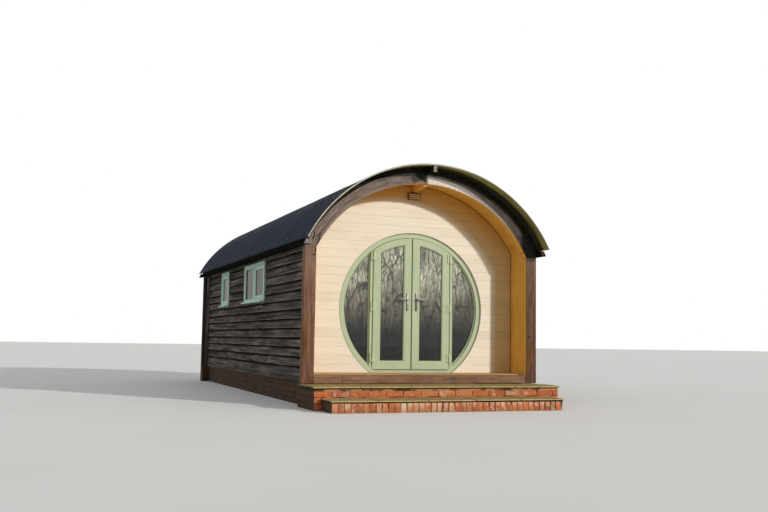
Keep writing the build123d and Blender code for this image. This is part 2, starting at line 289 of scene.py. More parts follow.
def loft(piece, rings, grain=None, tone=None, closed=False, rise=None):
    """Skin over rings of points, with the same number of points in each."""
    rings = [np.asarray(ring, float) for ring in rings]
    size = len(rings[0])
    faces = []
    last = len(rings) if closed else len(rings) - 1
    for k in range(last):
        a, b = k * size, (k + 1) % len(rings) * size
        for i in range(size):
            j = (i + 1) % size
            faces.append((a + i, a + j, b + j, b + i))
    if not closed:
        faces.append(tuple(range(size)))
        faces.append(tuple(range((len(rings) - 1) * size, len(rings) * size)))
    points = np.concatenate(rings)
    piece.add(points, faces, points if grain is None else grain, tone, rise)


def plate(piece, loop, plane, near, far, bevel=0.002, along=0, tone=None):
    """A flat outline with thickness and chamfered edges on both faces."""
    small = inset(loop, bevel)
    rings = [place(small, plane, near), place(loop, plane, near + bevel),
             place(loop, plane, far - bevel), place(small, plane, far)]
    loft(piece, rings, turned(np.concatenate(rings), along), tone)


def hoop(piece, profile, plane, along=0):
    """A frame whose outline changes in steps: (outline, depth) pairs, joined in a ring."""
    rings = [place(loop, plane, depth) for loop, depth in profile]
    loft(piece, rings, turned(np.concatenate(rings), along), closed=True)


def seal_strip(piece, outline, start, end, near, far, plane, along):
    """A rubber strip round a pane, between two insets of its outline and two depths."""
    hoop(piece, [(outline(start), near), (outline(end), near), (outline(end), far),
                 (outline(start), far)], plane, along)


def rectangle(a0, a1, b0, b1):
    return np.array([(a0, b0), (a1, b0), (a1, b1), (a0, b1)])


def arc(radius, start, end, steps, centre):
    angles = np.linspace(start, end, steps + 1)
    return np.stack([radius * np.cos(angles), centre + radius * np.sin(angles)], axis=1)


def foot_angle(radius, height, centre=ARCH_CENTRE):
    """Angle at which a circle about the arch's centre passes a height."""
    return math.asin((height - centre) / radius)


def half_chord(radius, away):
    """Half the width of a circle at a distance from its centre."""
    return math.sqrt(max(radius**2 - away**2, 0))


def arch_bar(piece, radii, span, y0, y1, bevel=0.002, steps=24, foot=None, along_y=False,
             centre=ARCH_CENTRE):
    """A bar bent round the arch between two angles. With foot, its start is cut level."""
    section = rectangle(radii[0], radii[1], y0, y1)
    chamfered = []
    for corner, before, after in zip(section, np.roll(section, 1, 0), np.roll(section, -1, 0)):
        for other in (before, after):
            step = other - corner
            chamfered.append(corner + step / np.linalg.norm(step) * bevel)
    chamfered = np.array(chamfered)
    small = inset(chamfered, bevel * 0.7)
    length = radii[1] * abs(span[1] - span[0])
    edge = min(bevel / max(length, 1e-6), 0.4)
    shares = [0] + list(np.linspace(edge, 1 - edge, steps + 1)) + [1]
    rings = []
    grain = []
    for place_in, share in enumerate(shares):
        ends = place_in in (0, len(shares) - 1)
        for radius, y in (small if ends else chamfered):
            start = span[0] if foot is None else foot_angle(radius, foot, centre)
            angle = start + (span[1] - start) * share
            rings.append((radius * math.cos(angle), y, centre + radius * math.sin(angle)))
            around = angle * radii[1]
            grain.append((y, around, radius) if along_y else (around, radius, y))
    rings = np.array(rings).reshape(len(shares), len(chamfered), 3)
    loft(piece, list(rings), grain)


def lathe(piece, profile, axis_point, axis=2, sides=20):
    """A turned shape: (distance along the axis, radius) pairs about a line."""
    rings = []
    for distance, radius in profile:
        ring = []
        for k in range(sides):
            angle = 2 * math.pi * k / sides
            point = [0, 0, 0]
            point[axis] = distance
            point[(axis + 1) % 3] = radius * math.cos(angle)
            point[(axis + 2) % 3] = radius * math.sin(angle)
            ring.append(point)
        rings.append(np.array(ring) + axis_point)
    loft(piece, rings, turned(np.concatenate(rings), axis))


# Node materials

def rgb(*values):
    """A colour given as 0 to 255, as linear light."""
    return tuple((v / 255 / 12.92) if v < 10 else ((v / 255 + 0.055) / 1.055) ** 2.4
                 for v in values)


def toned(colour, share):
    return tuple(c * share for c in colour)


class Nodes:
    """A node tree; sockets take numbers, colours or the output of another node."""

    def __init__(self, owner):
        owner.use_nodes = True
        self.tree = owner.node_tree

    def put(self, socket, value):
        if isinstance(value, bpy.types.NodeSocket):
            self.tree.links.new(value, socket)
        elif hasattr(value, "__len__") and len(value) == 3 and socket.type == "RGBA":
            socket.default_value = (*value, 1)
        else:
            socket.default_value = value

    def node(self, kind, inputs=None, out=0, **settings):
        made = self.tree.nodes.new("ShaderNode" + kind)
        for name, value in settings.items():
            setattr(made, name, value)
        for socket, value in (inputs or {}).items():
            self.put(made.inputs[socket], value)
        return made.outputs[out]

    def split(self, vector):
        parts = self.tree.nodes.new("ShaderNodeSeparateXYZ")
        self.put(parts.inputs[0], vector)
        return parts.outputs

    def vector(self, operation, a, b=None, out=0):
        inputs = {0: a} if b is None else {0: a, 1: b}
        return self.node("VectorMath", inputs, out, operation=operation)

    def stretch(self, vector, x, y, z):
        return self.vector("MULTIPLY", vector, (x, y, z))

    def noise(self, vector, scale, detail=4.0, roughness=0.55, distortion=0.0):
        """Noise of one scale, or of three scales along x, y and z."""
        if isinstance(scale, tuple):
            vector, scale = self.stretch(vector, *scale), 1.0
        return self.node("TexNoise", {"Vector": vector, "Scale": scale, "Detail": detail,
                                      "Roughness": roughness, "Distortion": distortion})

    def math(self, operation, a, b=0.0, clamp=False):
        return self.node("Math", {0: a, 1: b}, operation=operation, use_clamp=clamp)

    def times(self, *factors):
        return reduce(lambda a, b: self.math("MULTIPLY", a, b), factors)

    def plus(self, a, b):
        return self.math("ADD", a, b)

    def minus(self, a, b):
        return self.math("SUBTRACT", a, b)

    def most(self, *values):
        return reduce(lambda a, b: self.math("MAXIMUM", a, b), values)

    def ramp(self, factor, *stops):
        made = self.tree.nodes.new("ShaderNodeValToRGB")
        self.put(made.inputs[0], factor)
        elements = made.color_ramp.elements
        while len(elements) < len(stops):
            elements.new(0.5)
        for element, (position, colour) in zip(elements, stops):
            element.position = position
            element.color = (colour,) * 3 + (1,) if isinstance(colour, float) else (*colour, 1)
        return made.outputs[0]

    def grow(self, factor, start, end, top=1.0):
        """From nothing at the start up to the top value at the end."""
        return self.ramp(factor, (start, 0.0), (end, top))

    def fade(self, factor, start, end, top=1.0):
        """From the top value at the start down to nothing at the end."""
        return self.ramp(factor, (start, top), (end, 0.0))

    def mix(self, factor, a, b, mode="MIX"):
        made = self.tree.nodes.new("ShaderNodeMix")
        made.data_type = "RGBA"
        made.blend_type = mode
        for socket, value in ((0, factor), (6, a), (7, b)):
            self.put(made.inputs[socket], value)
        return made.outputs[2]


class Shader(Nodes):
    """A node material around one glossy, metal or glass surface."""

    def __init__(self, name, **surface):
        self.material = bpy.data.materials.new(name)
        super().__init__(self.material)
        self.surface = self.tree.nodes["Principled BSDF"]
        for socket, value in surface.items():
            self.set(socket.replace("_", " "), value)

    def set(self, socket, value):
        self.put(self.surface.inputs[socket], value)

    @cached_property
    def grain(self):
        return self.node("Attribute", out=1, attribute_name="grain")

    @cached_property
    def tone(self):
        return self.node("Attribute", out=2, attribute_name="tone")

    @cached_property
    def rise(self):
        return self.node("Attribute", out=2, attribute_name="rise")

    @cached_property
    def place(self):
        return self.node("TexCoord", out=3)

    def shade(self, colour, *stops):
        """The colour made darker or lighter by the tone of each board, brick or slab."""
        return self.mix(1.0, colour, self.ramp(self.tone, *stops), "MULTIPLY")

    def over(self, colour, *layers):
        """The colour with other colours laid over it, each by its own share."""
        for share, layer in layers:
            colour = self.mix(share, colour, layer)
        return colour

    def relief(self, distance, *parts):
        """Bumps of a height in metres, from parts and their shares, which may be dents."""
        height = None
        for part, share in parts:
            part = part if share == 1 else self.times(part, abs(share))
            if height is None:
                height = part
            else:
                height = self.math("ADD" if share > 0 else "SUBTRACT", height, part)
        self.set("Normal", self.node("Bump", {"Height": height, "Distance": distance,
                                              "Strength": 1.0}))

    def coloured(self, colour):
        self.set("Base Color", colour)
        return self.material

    def from_centre(self, across, height, centre):
        """Distance across the pod from a line along it."""
        side, up = self.minus(across, centre[0]), self.minus(height, centre[1])
        return self.math("SQRT", self.plus(self.times(side, side), self.times(up, up)))

    def grime(self, damp):
        """Painted shade, laid on as green-black grime in damp patches: on the plinth behind the
        front frame and on every face that looks left."""
        in_shade = self.grow(self.minus(self.split(self.place)[1], FRONT), 0.10, 0.16)
        left = self.split(self.node("NewGeometry", out=1))[0]
        shady = self.grow(self.times(left, -1.0), 0.3, 0.6)
        spread = self.ramp(damp, (0.3, 0.84), (0.65, 0.97))
        return self.times(self.most(in_shade, shady), spread)


KNOT_SPREAD = (2.0, 6.5, 6.5)


def knots(s):
    """Distance from the nearest knot in metres, and how far this board's cell has one."""
    cells = s.tree.nodes.new("ShaderNodeTexVoronoi")
    place_in = s.stretch(s.grain, *KNOT_SPREAD)
    s.put(cells.inputs["Vector"], place_in)
    s.put(cells.inputs["Scale"], 1.0)
    away = s.vector("SUBTRACT", place_in, cells.outputs["Position"])
    real = s.stretch(away, 0.6 / KNOT_SPREAD[0], 1 / KNOT_SPREAD[1], 1 / KNOT_SPREAD[2])
    return s.vector("LENGTH", real, out=1), s.grow(cells.outputs["Color"], 0.52, 0.56)


def arch_painted_light(s, colour, streaks):
    """The front arch: painted sunlight, pale, along its inner edge right of the ridge, and painted
    shade, black, along its outer edge where the roof's shadow falls, just left of the ridge
    where the ridge block's shadow falls, and at its right foot."""
    across, _, height = s.split(s.place)
    away = s.from_centre(across, height, (0, ARCH_CENTRE))
    share = s.math("DIVIDE", s.minus(away, ARCH_INNER), ARCH_OUTER - ARCH_INNER)
    share = s.plus(share, s.times(s.minus(streaks, 0.5), 0.9))
    limit = s.minus(s.plus(share, s.times(across, 0.6)), 0.82)
    # Painted sunlight: a pale, pitted band along the inner edge, right of the ridge.
    painted_sunlit_band = s.times(s.fade(s.plus(limit, 0.5), 0.40, 0.54), s.grow(across, 0.0, 0.03))
    pits = s.ramp(s.noise(s.place, 60, 4, 0.7), (0.40, 0.55), (0.52, 1.0))
    colour = s.mix(s.times(painted_sunlit_band, pits), colour, rgb(238, 228, 216))
    # Painted shade, black: the roof's shadow along the outer edge (outer), most on the right, the
    # ridge block's shadow just left of the ridge, and the shade at the right foot (foot).
    reach = s.times(s.plus(across, 1.0), 0.5)
    outer = s.times(s.grow(share, 0.66, 0.84, 0.93),
                    s.ramp(reach, (0.05, 0.0), (0.25, 0.55), (0.48, 0.55), (0.52, 1.0)))
    painted_block_shadow = s.times(s.grow(s.plus(share, s.times(across, 3.5)), 0.0, 0.12, 0.92),
                          s.ramp(reach, (0.405, 0.0), (0.42, 1.0), (0.492, 1.0), (0.50, 0.0)))
    foot = s.grow(s.minus(across, 0.6), 0.73, 0.80, 0.94)
    return s.mix(s.most(outer, painted_block_shadow, foot), colour, rgb(24, 24, 16))


def timber(name, dark, mid, light, weathered, weathering=0.5, rough=0.8, mossy=0.0,
           blotchy=0.0, faded=None, gloss=0.2, painted_light=None):
    """Stained or bare timber: streaks, fibres, checks, knots, blotches and pits, and grey
    weathering, which grows between two heights where faded gives them."""
    s = Shader(name, Roughness=rough, Specular_IOR_Level=gloss)
    distance, chosen = knots(s)
    around = s.times(s.fade(distance, 0.0, 0.06), chosen)
    push = s.node("CombineXYZ", {1: s.times(around, 0.02), 2: s.times(around, 0.014)})
    bent = s.vector("ADD", s.grain, push)
    streaks = s.noise(bent, (1.5, 32, 32), 6, 0.62, 0.5)
    fibres = s.noise(bent, (10, 380, 380), 3, 0.6)
    patches = s.noise(s.grain, (1.3, 4.5, 4.5), 4, 0.6)
    lines = s.noise(bent, (0.9, 46, 46), 3, 0.5, 0.8)
    check = s.times(s.fade(s.math("ABSOLUTE", s.minus(lines, 0.5)), 0.0, 0.014),
                    s.grow(patches, 0.5, 0.62))
    knot = s.times(s.fade(distance, 0.009, 0.019), chosen)

    grey = s.times(s.grow(patches, 0.4, 0.68), weathering)
    if faded:
        share = s.math("DIVIDE", s.minus(s.split(s.place)[2], faded[0]), faded[1] - faded[0])
        grey = s.most(grey, s.math("MULTIPLY", share, 0.8, clamp=True))
    colour = s.over(s.ramp(streaks, (0.28, dark), (0.5, mid), (0.74, light)),
                    (s.times(s.grow(fibres, 0.4, 0.75), 0.35), light), (grey, weathered))
    if blotchy:
        blotch = s.ramp(s.noise(bent, (5, 24, 24), 5, 0.7), (0.32, 0.5), (0.5, 1.0), (0.68, 1.45))
        pits = s.grow(s.noise(bent, (22, 60, 60), 3, 0.6), 0.63, 0.69, 0.8)
        strong = s.mix(pits, s.mix(1.0, colour, blotch, "MULTIPLY"), toned(dark, 0.3))
        colour = s.mix(blotchy, colour, strong)
    colour = s.shade(colour, (0.0, 0.78), (1.0, 1.12))
    if mossy:
        moss = s.grow(s.noise(s.grain, (9, 14, 14), 6, 0.7), 0.52, 0.66)
        colour = s.mix(s.times(moss, mossy), colour, rgb(92, 96, 48))
    # A hook that lays painted light and shade on the colour; only the front arch has one.
    if painted_light:
        colour = painted_light(s, colour, streaks)
    dim = toned(dark, 0.28)
    s.relief(0.0012, (streaks, 0.6), (fibres, 0.35), (check, -0.8), (knot, -0.3))
    return s.coloured(s.over(colour, (s.times(knot, 0.85), dim), (s.times(check, 0.75), dim)))


def sawn_boards(name, dark, mid, light, edge, gap):
    """Rough-sawn, stained boards, pale along the foot, worn and with a painted highlight, and
    black under the lap, which is painted shade.
    """
    s = Shader(name, Roughness=0.9, Specular_IOR_Level=0.03)
    saw = s.noise(s.grain, (55, 14, 14), 3, 0.6)
    streaks = s.noise(s.grain, (1.2, 30, 30), 6, 0.62, 0.4)
    fibres = s.noise(s.grain, (8, 330, 330), 3, 0.6)
    patches = s.noise(s.grain, (0.9, 4, 4), 5, 0.6)
    distance, chosen = knots(s)
    knot = s.times(s.fade(distance, 0.010, 0.022), chosen)
    colour = s.over(s.ramp(streaks, (0.32, dark), (0.48, mid), (0.66, light)),
                    (s.grow(fibres, 0.5, 0.75, 0.5), light),
                    (s.grow(patches, 0.42, 0.68, 0.7), dark))
    # Pale along the foot: wear and a painted highlight.
    worn_and_lit_foot = s.times(s.fade(s.rise, 0.02, 0.12, 0.8), s.ramp(streaks, (0.35, 0.2), (0.6, 1.0)))
    # Painted shade: black under the lap of the board above.
    shade_under_lap = s.plus(s.rise, s.times(s.minus(patches, 0.5), 0.3))
    s.relief(0.002, (streaks, 0.5), (saw, 0.35), (fibres, 0.3))
    return s.coloured(s.over(
        s.shade(colour, (0.0, 0.72), (1.0, 1.3)), (worn_and_lit_foot, edge),
        (s.ramp(shade_under_lap, (0.62, 0.0), (0.80, 0.7), (0.86, 1.0)), gap), (s.times(knot, 0.8), gap)))


# Painted shadow on the gable: the roof keeps the sun off the gable outside this arch: its
# centre, and its right side
SHADOW_CENTRE = (-0.317, 0.98)
SHADOW_SIDE = 1.133


def painted_gable_shadow(s, base, shadow_ochre):
    """Painted shadow: tan where the roof's shadow falls on the gable, and painted shade,
    deeper ochre, in the corner of the soffit.
    """
    across, _, height = s.split(s.place)
    away = s.from_centre(across, s.most(height, SHADOW_CENTRE[1]), SHADOW_CENTRE)
    beyond = s.most(s.minus(away, ARCH_INNER), s.minus(across, SHADOW_SIDE))
    # Painted shadow, tan, outside the edge of the roof's shadow on the gable.
    in_shade = s.grow(s.plus(beyond, 0.5), 0.48, 0.60)
    base = s.mix(in_shade, base, rgb(196, 168, 118))
    # Painted shade, ochre, in the corner under the soffit, high up.
    depth = s.minus(SOFFIT_INNER, s.from_centre(across, height, (0, ARCH_CENTRE)))
    soffit_corner_shade = s.times(s.ramp(depth, (0.0, 1.0), (0.12, 0.8), (0.40, 0.0)), in_shade)
    high_up = s.ramp(s.times(height, 0.3), (0.55, 0.3), (0.75, 1.0))
    return s.mix(s.times(soffit_corner_shade, high_up), base, shadow_ochre)


def painted(name, colour, shaded, rough=0.5, grime=0.25, knotty=0.12, shadow_ochre=None):
    """Painted joinery: brushed coat over grain, ghost of knots, grime in patches, and, where a
    shadow colour is given, the roof's shadow and the soffit's shade painted on in tan and ochre."""
    s = Shader(name, Specular_IOR_Level=0.35)
    distance, chosen = knots(s)
    brushed = s.noise(s.grain, (6, 260, 260), 4, 0.6)
    waves = s.noise(s.grain, (1.6, 22, 22), 5, 0.6, 0.3)
    patches = s.noise(s.grain, (2.2, 5, 5), 5, 0.62)
    knot = s.times(s.fade(distance, 0.006, 0.016), chosen)
    base = s.over(colour, (s.grow(waves, 0.35, 0.7), toned(colour, 0.93)),
                  (s.times(s.grow(patches, 0.46, 0.74), grime), shaded))
    if shadow_ochre:
        base = painted_gable_shadow(s, base, shadow_ochre)
    base = s.mix(s.times(knot, knotty), base, toned(shaded, 0.35))
    s.set("Roughness", s.ramp(brushed, (0.3, rough - 0.07), (0.75, rough + 0.12)))
    s.relief(0.0004, (waves, 0.6), (brushed, 0.25))
    return s.coloured(s.shade(base, (0.0, 0.94), (1.0, 1.03)))


def brickwork(name, colours):
    """Fired bricks: a tone for each brick, sandy creases, dark specks, pale salts on some,
    darker patches near the ground, and painted shade, as green-black grime, along the side
    walls and on faces that look left."""
    s = Shader(name, Roughness=0.92, Specular_IOR_Level=0.25)
    mottle = s.noise(s.grain, 26, 6, 0.65, 0.6)
    sand = s.noise(s.grain, 420, 3, 0.7)
    drag = s.noise(s.grain, (18, 70, 150), 4, 0.6)
    across, depth, height = s.split(s.place)
    on_step = s.fade(s.minus(depth, STEP_FACE), 0.21, 0.25)
    spread = s.plus(s.noise(s.place, 7, 6, 0.7, 0.5), s.times(on_step, 0.06))
    salts = s.times(s.grow(spread, 0.54, 0.66), s.ramp(mottle, (0.35, 0.2), (0.6, 0.8)))
    bloom = s.times(s.grow(s.noise(s.place, (46, 20, 6), 5, 0.7), 0.42, 0.60, 0.85),
                    s.grow(height, 0.045, 0.105), s.grow(s.plus(across, 1.0), 0.1, 0.4), on_step)
    chalky = s.times(s.grow(s.tone, 0.95, 0.96, 0.5), on_step)
    damp = s.noise(s.place, 7, 6, 0.65)
    low_down = s.times(s.fade(height, 0.0, 0.09), s.ramp(damp, (0.35, 0.3), (0.6, 1.0)), 0.5)
    base = s.ramp(s.tone, *[(k / (len(colours) - 1), c) for k, c in enumerate(colours)])
    base = s.mix(s.grow(mottle, 0.4, 0.68), base, s.mix(0.45, base, rgb(214, 146, 100)))
    base = s.mix(s.grow(drag, 0.5, 0.7, 0.75), base, s.mix(0.65, base, rgb(92, 50, 36)))
    s.relief(0.0022, (mottle, 0.5), (sand, 0.3), (drag, 0.4))
    return s.coloured(s.over(
        base, (s.grow(sand, 0.62, 0.74, 0.55), rgb(88, 54, 40)), (salts, rgb(220, 198, 166)),
        (bloom, rgb(232, 178, 150)), (chalky, rgb(228, 208, 186)), (low_down, rgb(92, 66, 42)),
        (s.grime(damp), rgb(40, 38, 28))))


def mortar_mix(name):
    """Sandy mortar, dark with damp, and painted shade, as green-black grime, along the side
    walls and on faces that look left.
    """
    s = Shader(name, Roughness=0.95, Specular_IOR_Level=0.2)
    sand = s.noise(s.place, 380, 4, 0.7)
    damp = s.noise(s.place, 6, 5, 0.65)
    s.relief(0.0015, (sand, 1))
    return s.coloured(s.over(
        s.ramp(sand, (0.3, rgb(136, 82, 54)), (0.7, rgb(210, 158, 118))),
        (s.grow(damp, 0.46, 0.58, 0.88), rgb(40, 28, 18)), (s.grime(damp), rgb(30, 32, 22))))


def mossy_stone(name):
    """Riven paving: buff stone with laminated relief, moss and lichen, a pale band down the upper
    edge that is a painted highlight, painted shade under the edge, black-green like algae, and
    painted shade as grime on faces that look left."""
    s = Shader(name, Roughness=0.9, Specular_IOR_Level=0.25)
    riven = s.noise(s.grain, (9, 9, 60), 6, 0.6, 0.7)
    grit = s.noise(s.grain, 260, 4, 0.7)
    moss = s.noise(s.grain, (12, 12, 30), 7, 0.72)
    lichen = s.node("TexVoronoi", {"Vector": s.grain, "Scale": 55.0})
    base = s.ramp(riven, (0.3, rgb(90, 68, 38)), (0.55, rgb(130, 102, 58)),
                  (0.75, rgb(168, 142, 88)))
    base = s.shade(base, (0.0, 0.84), (1.0, 1.1))
    edge = s.times(s.ramp(s.rise, (0.55, 0.0), (0.66, 1.0), (0.92, 1.0), (1.0, 0.3)),
                   s.ramp(moss, (0.40, 1.0), (0.66, 0.5)))
    s.relief(0.004, (riven, 0.7), (moss, 0.5), (grit, 0.15))
    # Painted highlight on the upper edge, painted shade under it and on left faces.
    return s.coloured(s.over(
        base, (s.grow(moss, 0.50, 0.64, 0.75), s.mix(grit, rgb(96, 92, 36), rgb(152, 144, 70))),
        (s.fade(lichen, 0.05, 0.14, 0.5), rgb(184, 178, 142)),
        (edge, s.mix(grit, rgb(190, 172, 116), rgb(226, 208, 150))),
        (s.fade(s.rise, 0.35, 0.55), rgb(26, 30, 12)),
        (s.grime(s.noise(s.place, 6, 5)), rgb(40, 40, 24))))


def roof_coating(name):
    """Weathered slate-blue coating above, olive underside with painted shade, green-black,
    except near its front edge, streaks down the slope.
    """
    s = Shader(name, Specular_IOR_Level=0.15)
    streak = s.noise(s.grain, (1.3, 36, 1), 5, 0.62)
    cloud = s.noise(s.grain, (1.1, 1.6, 1), 6, 0.6)
    speck = s.noise(s.grain, (60, 60, 1), 5, 0.75)
    hue = s.noise(s.grain, (2.4, 3.0, 1), 3, 0.6)
    top = s.over(
        s.ramp(cloud, (0.3, rgb(28, 34, 48)), (0.55, rgb(41, 49, 65)), (0.75, rgb(57, 63, 77))),
        (0.3, s.ramp(hue, (0.38, rgb(28, 48, 54)), (0.5, rgb(40, 45, 60)),
                     (0.62, rgb(56, 48, 58)))),
        (s.grow(streak, 0.5, 0.72, 0.5), rgb(56, 57, 56)),
        (s.grow(speck, 0.60, 0.74, 0.7), rgb(96, 98, 92)))
    under = s.ramp(streak, (0.36, rgb(78, 72, 38)), (0.5, rgb(136, 128, 70)),
                   (0.64, rgb(186, 178, 112)))
    # Painted shade: the underside dark green-black except near its front edge.
    damp = s.grow(s.minus(s.split(s.place)[1], FRONT - 0.5), 0.32, 0.39)
    under = s.mix(s.times(damp, 0.92), under, rgb(22, 26, 16))
    s.set("Roughness", s.ramp(cloud, (0.3, 0.62), (0.7, 0.85)))
    s.relief(0.0006, (speck, 1), (streak, 1))
    return s.coloured(s.mix(s.grow(s.tone, 0.4, 0.6), under, top))


def verge_coating(name):
    """Coating of the verge strips, pale to the left as a painted highlight and dark olive to the
    right as painted shade.
    """
    s = Shader(name, Roughness=0.6, Specular_IOR_Level=0.3)
    smudge = s.noise(s.place, 24, 5, 0.65)
    across = s.plus(s.split(s.place)[0], s.times(smudge, 0.5))
    painted_lit_side = s.mix(s.grow(smudge, 0.4, 0.7, 0.6), rgb(196, 190, 172), rgb(120, 116, 98))
    painted_shaded_side = s.mix(smudge, rgb(70, 70, 44), rgb(118, 114, 84))
    s.relief(0.0004, (smudge, 1))
    return s.coloured(s.mix(s.grow(across, 0.45, 0.85), painted_lit_side, painted_shaded_side))


def metal(name, colour, rough):
    """Polished metal with fine scratches and smudges."""
    s = Shader(name, Metallic=1.0)
    smudge = s.noise(s.place, 38, 4, 0.6)
    s.set("Roughness", s.ramp(smudge, (0.3, rough), (0.75, rough + 0.18)))
    s.relief(0.00008, (s.noise(s.place, (900, 900, 60), 2, 0.5), 1))
    return s.coloured(s.mix(s.grow(smudge, 0.4, 0.75, 0.5), colour, toned(colour, 0.7)))


def coated(name, colour, shaded, rough=0.45):
    """Smooth coating on small fittings, a little dusty."""
    s = Shader(name)
    dust = s.noise(s.place, 46, 5, 0.65)
    s.set("Roughness", s.ramp(dust, (0.35, rough), (0.7, rough + 0.2)))
    s.relief(0.00012, (s.noise(s.place, 900, 2), 1))
    return s.coloured(s.mix(s.grow(dust, 0.42, 0.72, 0.6), colour, shaded))


def glazing(name, clear, reflected_colour, share, index):
    """Panes of double glazing with a painted reflection: a pale film like reflected sky, thicker
    towards the top, broken by dark runs like reflected branches.
    """
    s = Shader(name, IOR=index)
    bend = s.node("TexNoise", {"Vector": s.place, "Scale": 3.0, "Detail": 4.0}, out=1)
    bent = s.vector("ADD", s.place, s.stretch(bend, 0.14, 0.14, 0.12))
    runs = s.noise(bent, (34, 34, 7), 8, 0.78)
    cloud = s.noise(s.place, (3.0, 3.0, 1.4), 4, 0.6)
    wide_runs, fine_runs = [
        s.node("TexVoronoi", {"Vector": s.stretch(bent, *size), "Scale": 1.0},
               feature="DISTANCE_TO_EDGE") for size in ((7, 7, 1.5), (26, 26, 6))]
    rise = s.math("DIVIDE", s.minus(s.split(s.place)[2], FLOOR_TOP + 0.50), 0.75, clamp=True)
    painted_reflection = s.times(s.ramp(runs, (0.34, 0.35), (0.60, 1.0)),
                    s.ramp(cloud, (0.34, 0.55), (0.56, 1.0)),
                    s.ramp(fine_runs, (0.0, 0.45), (0.10, 1.0)),
                    s.ramp(wide_runs, (0.0, 0.25), (0.05, 1.0)), s.plus(rise, 0.08), share)
    reflected_colour = s.mix(s.fade(rise, 0.45, 0.9, 0.75), reflected_colour, rgb(206, 184, 144))
    s.set("Transmission Weight", s.minus(1.0, painted_reflection))
    s.set("Roughness", s.grow(runs, 0.4, 0.7, 0.03))
    return s.coloured(s.mix(painted_reflection, clear, reflected_colour))


def lining(name, colour, pitch, round_arch=False):
    """Painted boards seen inside: grooves at an even pitch, brushed paint."""
    s = Shader(name, Roughness=0.6)
    side, _, across = s.split(s.place)
    if round_arch:
        across = s.times(s.math("ARCTAN2", s.minus(across, ARCH_CENTRE), side), SOFFIT_INNER)
    share = s.math("FRACT", s.math("DIVIDE", across, pitch))
    groove = s.ramp(share, (0.0, 0.0), (0.04, 1.0), (0.96, 1.0), (1.0, 0.0))
    waves = s.noise(s.place, (14, 3, 14), 5, 0.6)
    board = s.mix(s.grow(waves, 0.35, 0.7, 0.4), colour, toned(colour, 0.8))
    s.relief(0.002, (groove, 1), (waves, 0.15))
    return s.coloured(s.mix(s.fade(groove, 0.0, 0.5, 0.6), board, toned(colour, 0.3)))


STAIN = timber("stained_timber", rgb(56, 32, 20), rgb(96, 62, 40), rgb(136, 96, 66),
               rgb(132, 112, 96), weathering=0.35, blotchy=0.6, faded=(1.2, 2.1))
SILL_STAIN = timber("sill_timber", rgb(84, 54, 38), rgb(132, 94, 70), rgb(166, 126, 98),
                    rgb(146, 120, 100), weathering=0.4, blotchy=0.6)
# A darker copy of the front frame's stain for the rear posts and sill: painted shade.
REAR_TIMBER_IN_SHADE = timber("rear_timber", rgb(26, 20, 18), rgb(48, 38, 34), rgb(74, 60, 54),
                    rgb(70, 62, 60), weathering=0.5, blotchy=0.5)
# The front arch: stained timber with painted sunlight and painted shade laid on.
ARCH_STAIN = timber("arch_timber", rgb(78, 60, 50), rgb(122, 104, 92), rgb(158, 142, 130),
                    rgb(138, 128, 120), weathering=0.7, blotchy=0.9, gloss=0.1,
                    painted_light=arch_painted_light)
REAR_ARCH_STAIN = timber("rear_arch_timber", rgb(60, 46, 40), rgb(98, 82, 72),
                         rgb(130, 114, 104), rgb(110, 100, 94), weathering=0.6, mossy=0.3,
                         blotchy=0.8, gloss=0.1)
PALE_TIMBER = timber("pale_timber", rgb(96, 84, 74), rgb(136, 126, 118),
                     rgb(164, 154, 148), rgb(150, 146, 150), weathering=0.6, blotchy=0.5)
# Near-black timber for the deck boards and ridge blocks: painted shade under the sheet's overhang.
SHADED_ROOF_TIMBER = timber("roof_timber", rgb(12, 12, 10), rgb(24, 24, 21), rgb(46, 44, 36),
                     rgb(34, 36, 34), weathering=0.5, mossy=0.25, blotchy=0.6, gloss=0.05)
# Dark end grain: painted shade for the right eaves ends.
END_GRAIN_IN_SHADE = timber("end_grain_timber", rgb(26, 18, 14), rgb(56, 40, 32), rgb(92, 70, 56),
                   rgb(70, 58, 50), weathering=0.4, blotchy=0.8, gloss=0.0)
DARK_BOARDS = sawn_boards("dark_boards", rgb(44, 39, 36), rgb(92, 86, 80), rgb(138, 130, 122),
                          rgb(140, 132, 122), rgb(6, 5, 4))
CLEFT = timber("cleft_timber", rgb(3, 3, 2), rgb(8, 6, 5), rgb(16, 12, 10), rgb(14, 12, 10),
               weathering=0.3, gloss=0.0)
# Near-black timber for the eaves beams: painted shade under the roof's edge.
EAVES_IN_SHADE = timber("eaves_timber", rgb(12, 10, 8), rgb(24, 22, 16), rgb(38, 36, 26),
                     rgb(28, 30, 20), weathering=0.5, gloss=0.0, rough=0.95)
FLOOR_TIMBER = timber("floor_timber", rgb(150, 108, 62), rgb(200, 156, 98),
                      rgb(226, 188, 130), rgb(184, 164, 132), weathering=0.35)
# Cream paint; its third colour is painted shade, ochre, for the roof's shadow and the soffit's
# corner on the gable.
CREAM = painted("cream_paint", rgb(235, 225, 205), rgb(216, 194, 156), grime=0.3,
                shadow_ochre=rgb(196, 138, 44))
# Cream paint tinted ochre for the warm shade in the porch: painted shade on the soffit, cheeks,
# ridge beam and the frame's inward faces.
SHADED_CREAM = painted("cream_paint_in_shade", rgb(236, 178, 78), rgb(206, 132, 42), grime=0.5, knotty=0.8)
SAGE = painted("sage_paint", rgb(180, 194, 158), rgb(150, 164, 122), rough=0.42, grime=0.3)
WINDOW_GREEN = painted("window_paint", rgb(190, 222, 204), rgb(138, 160, 146), rough=0.45,
                       grime=0.35)
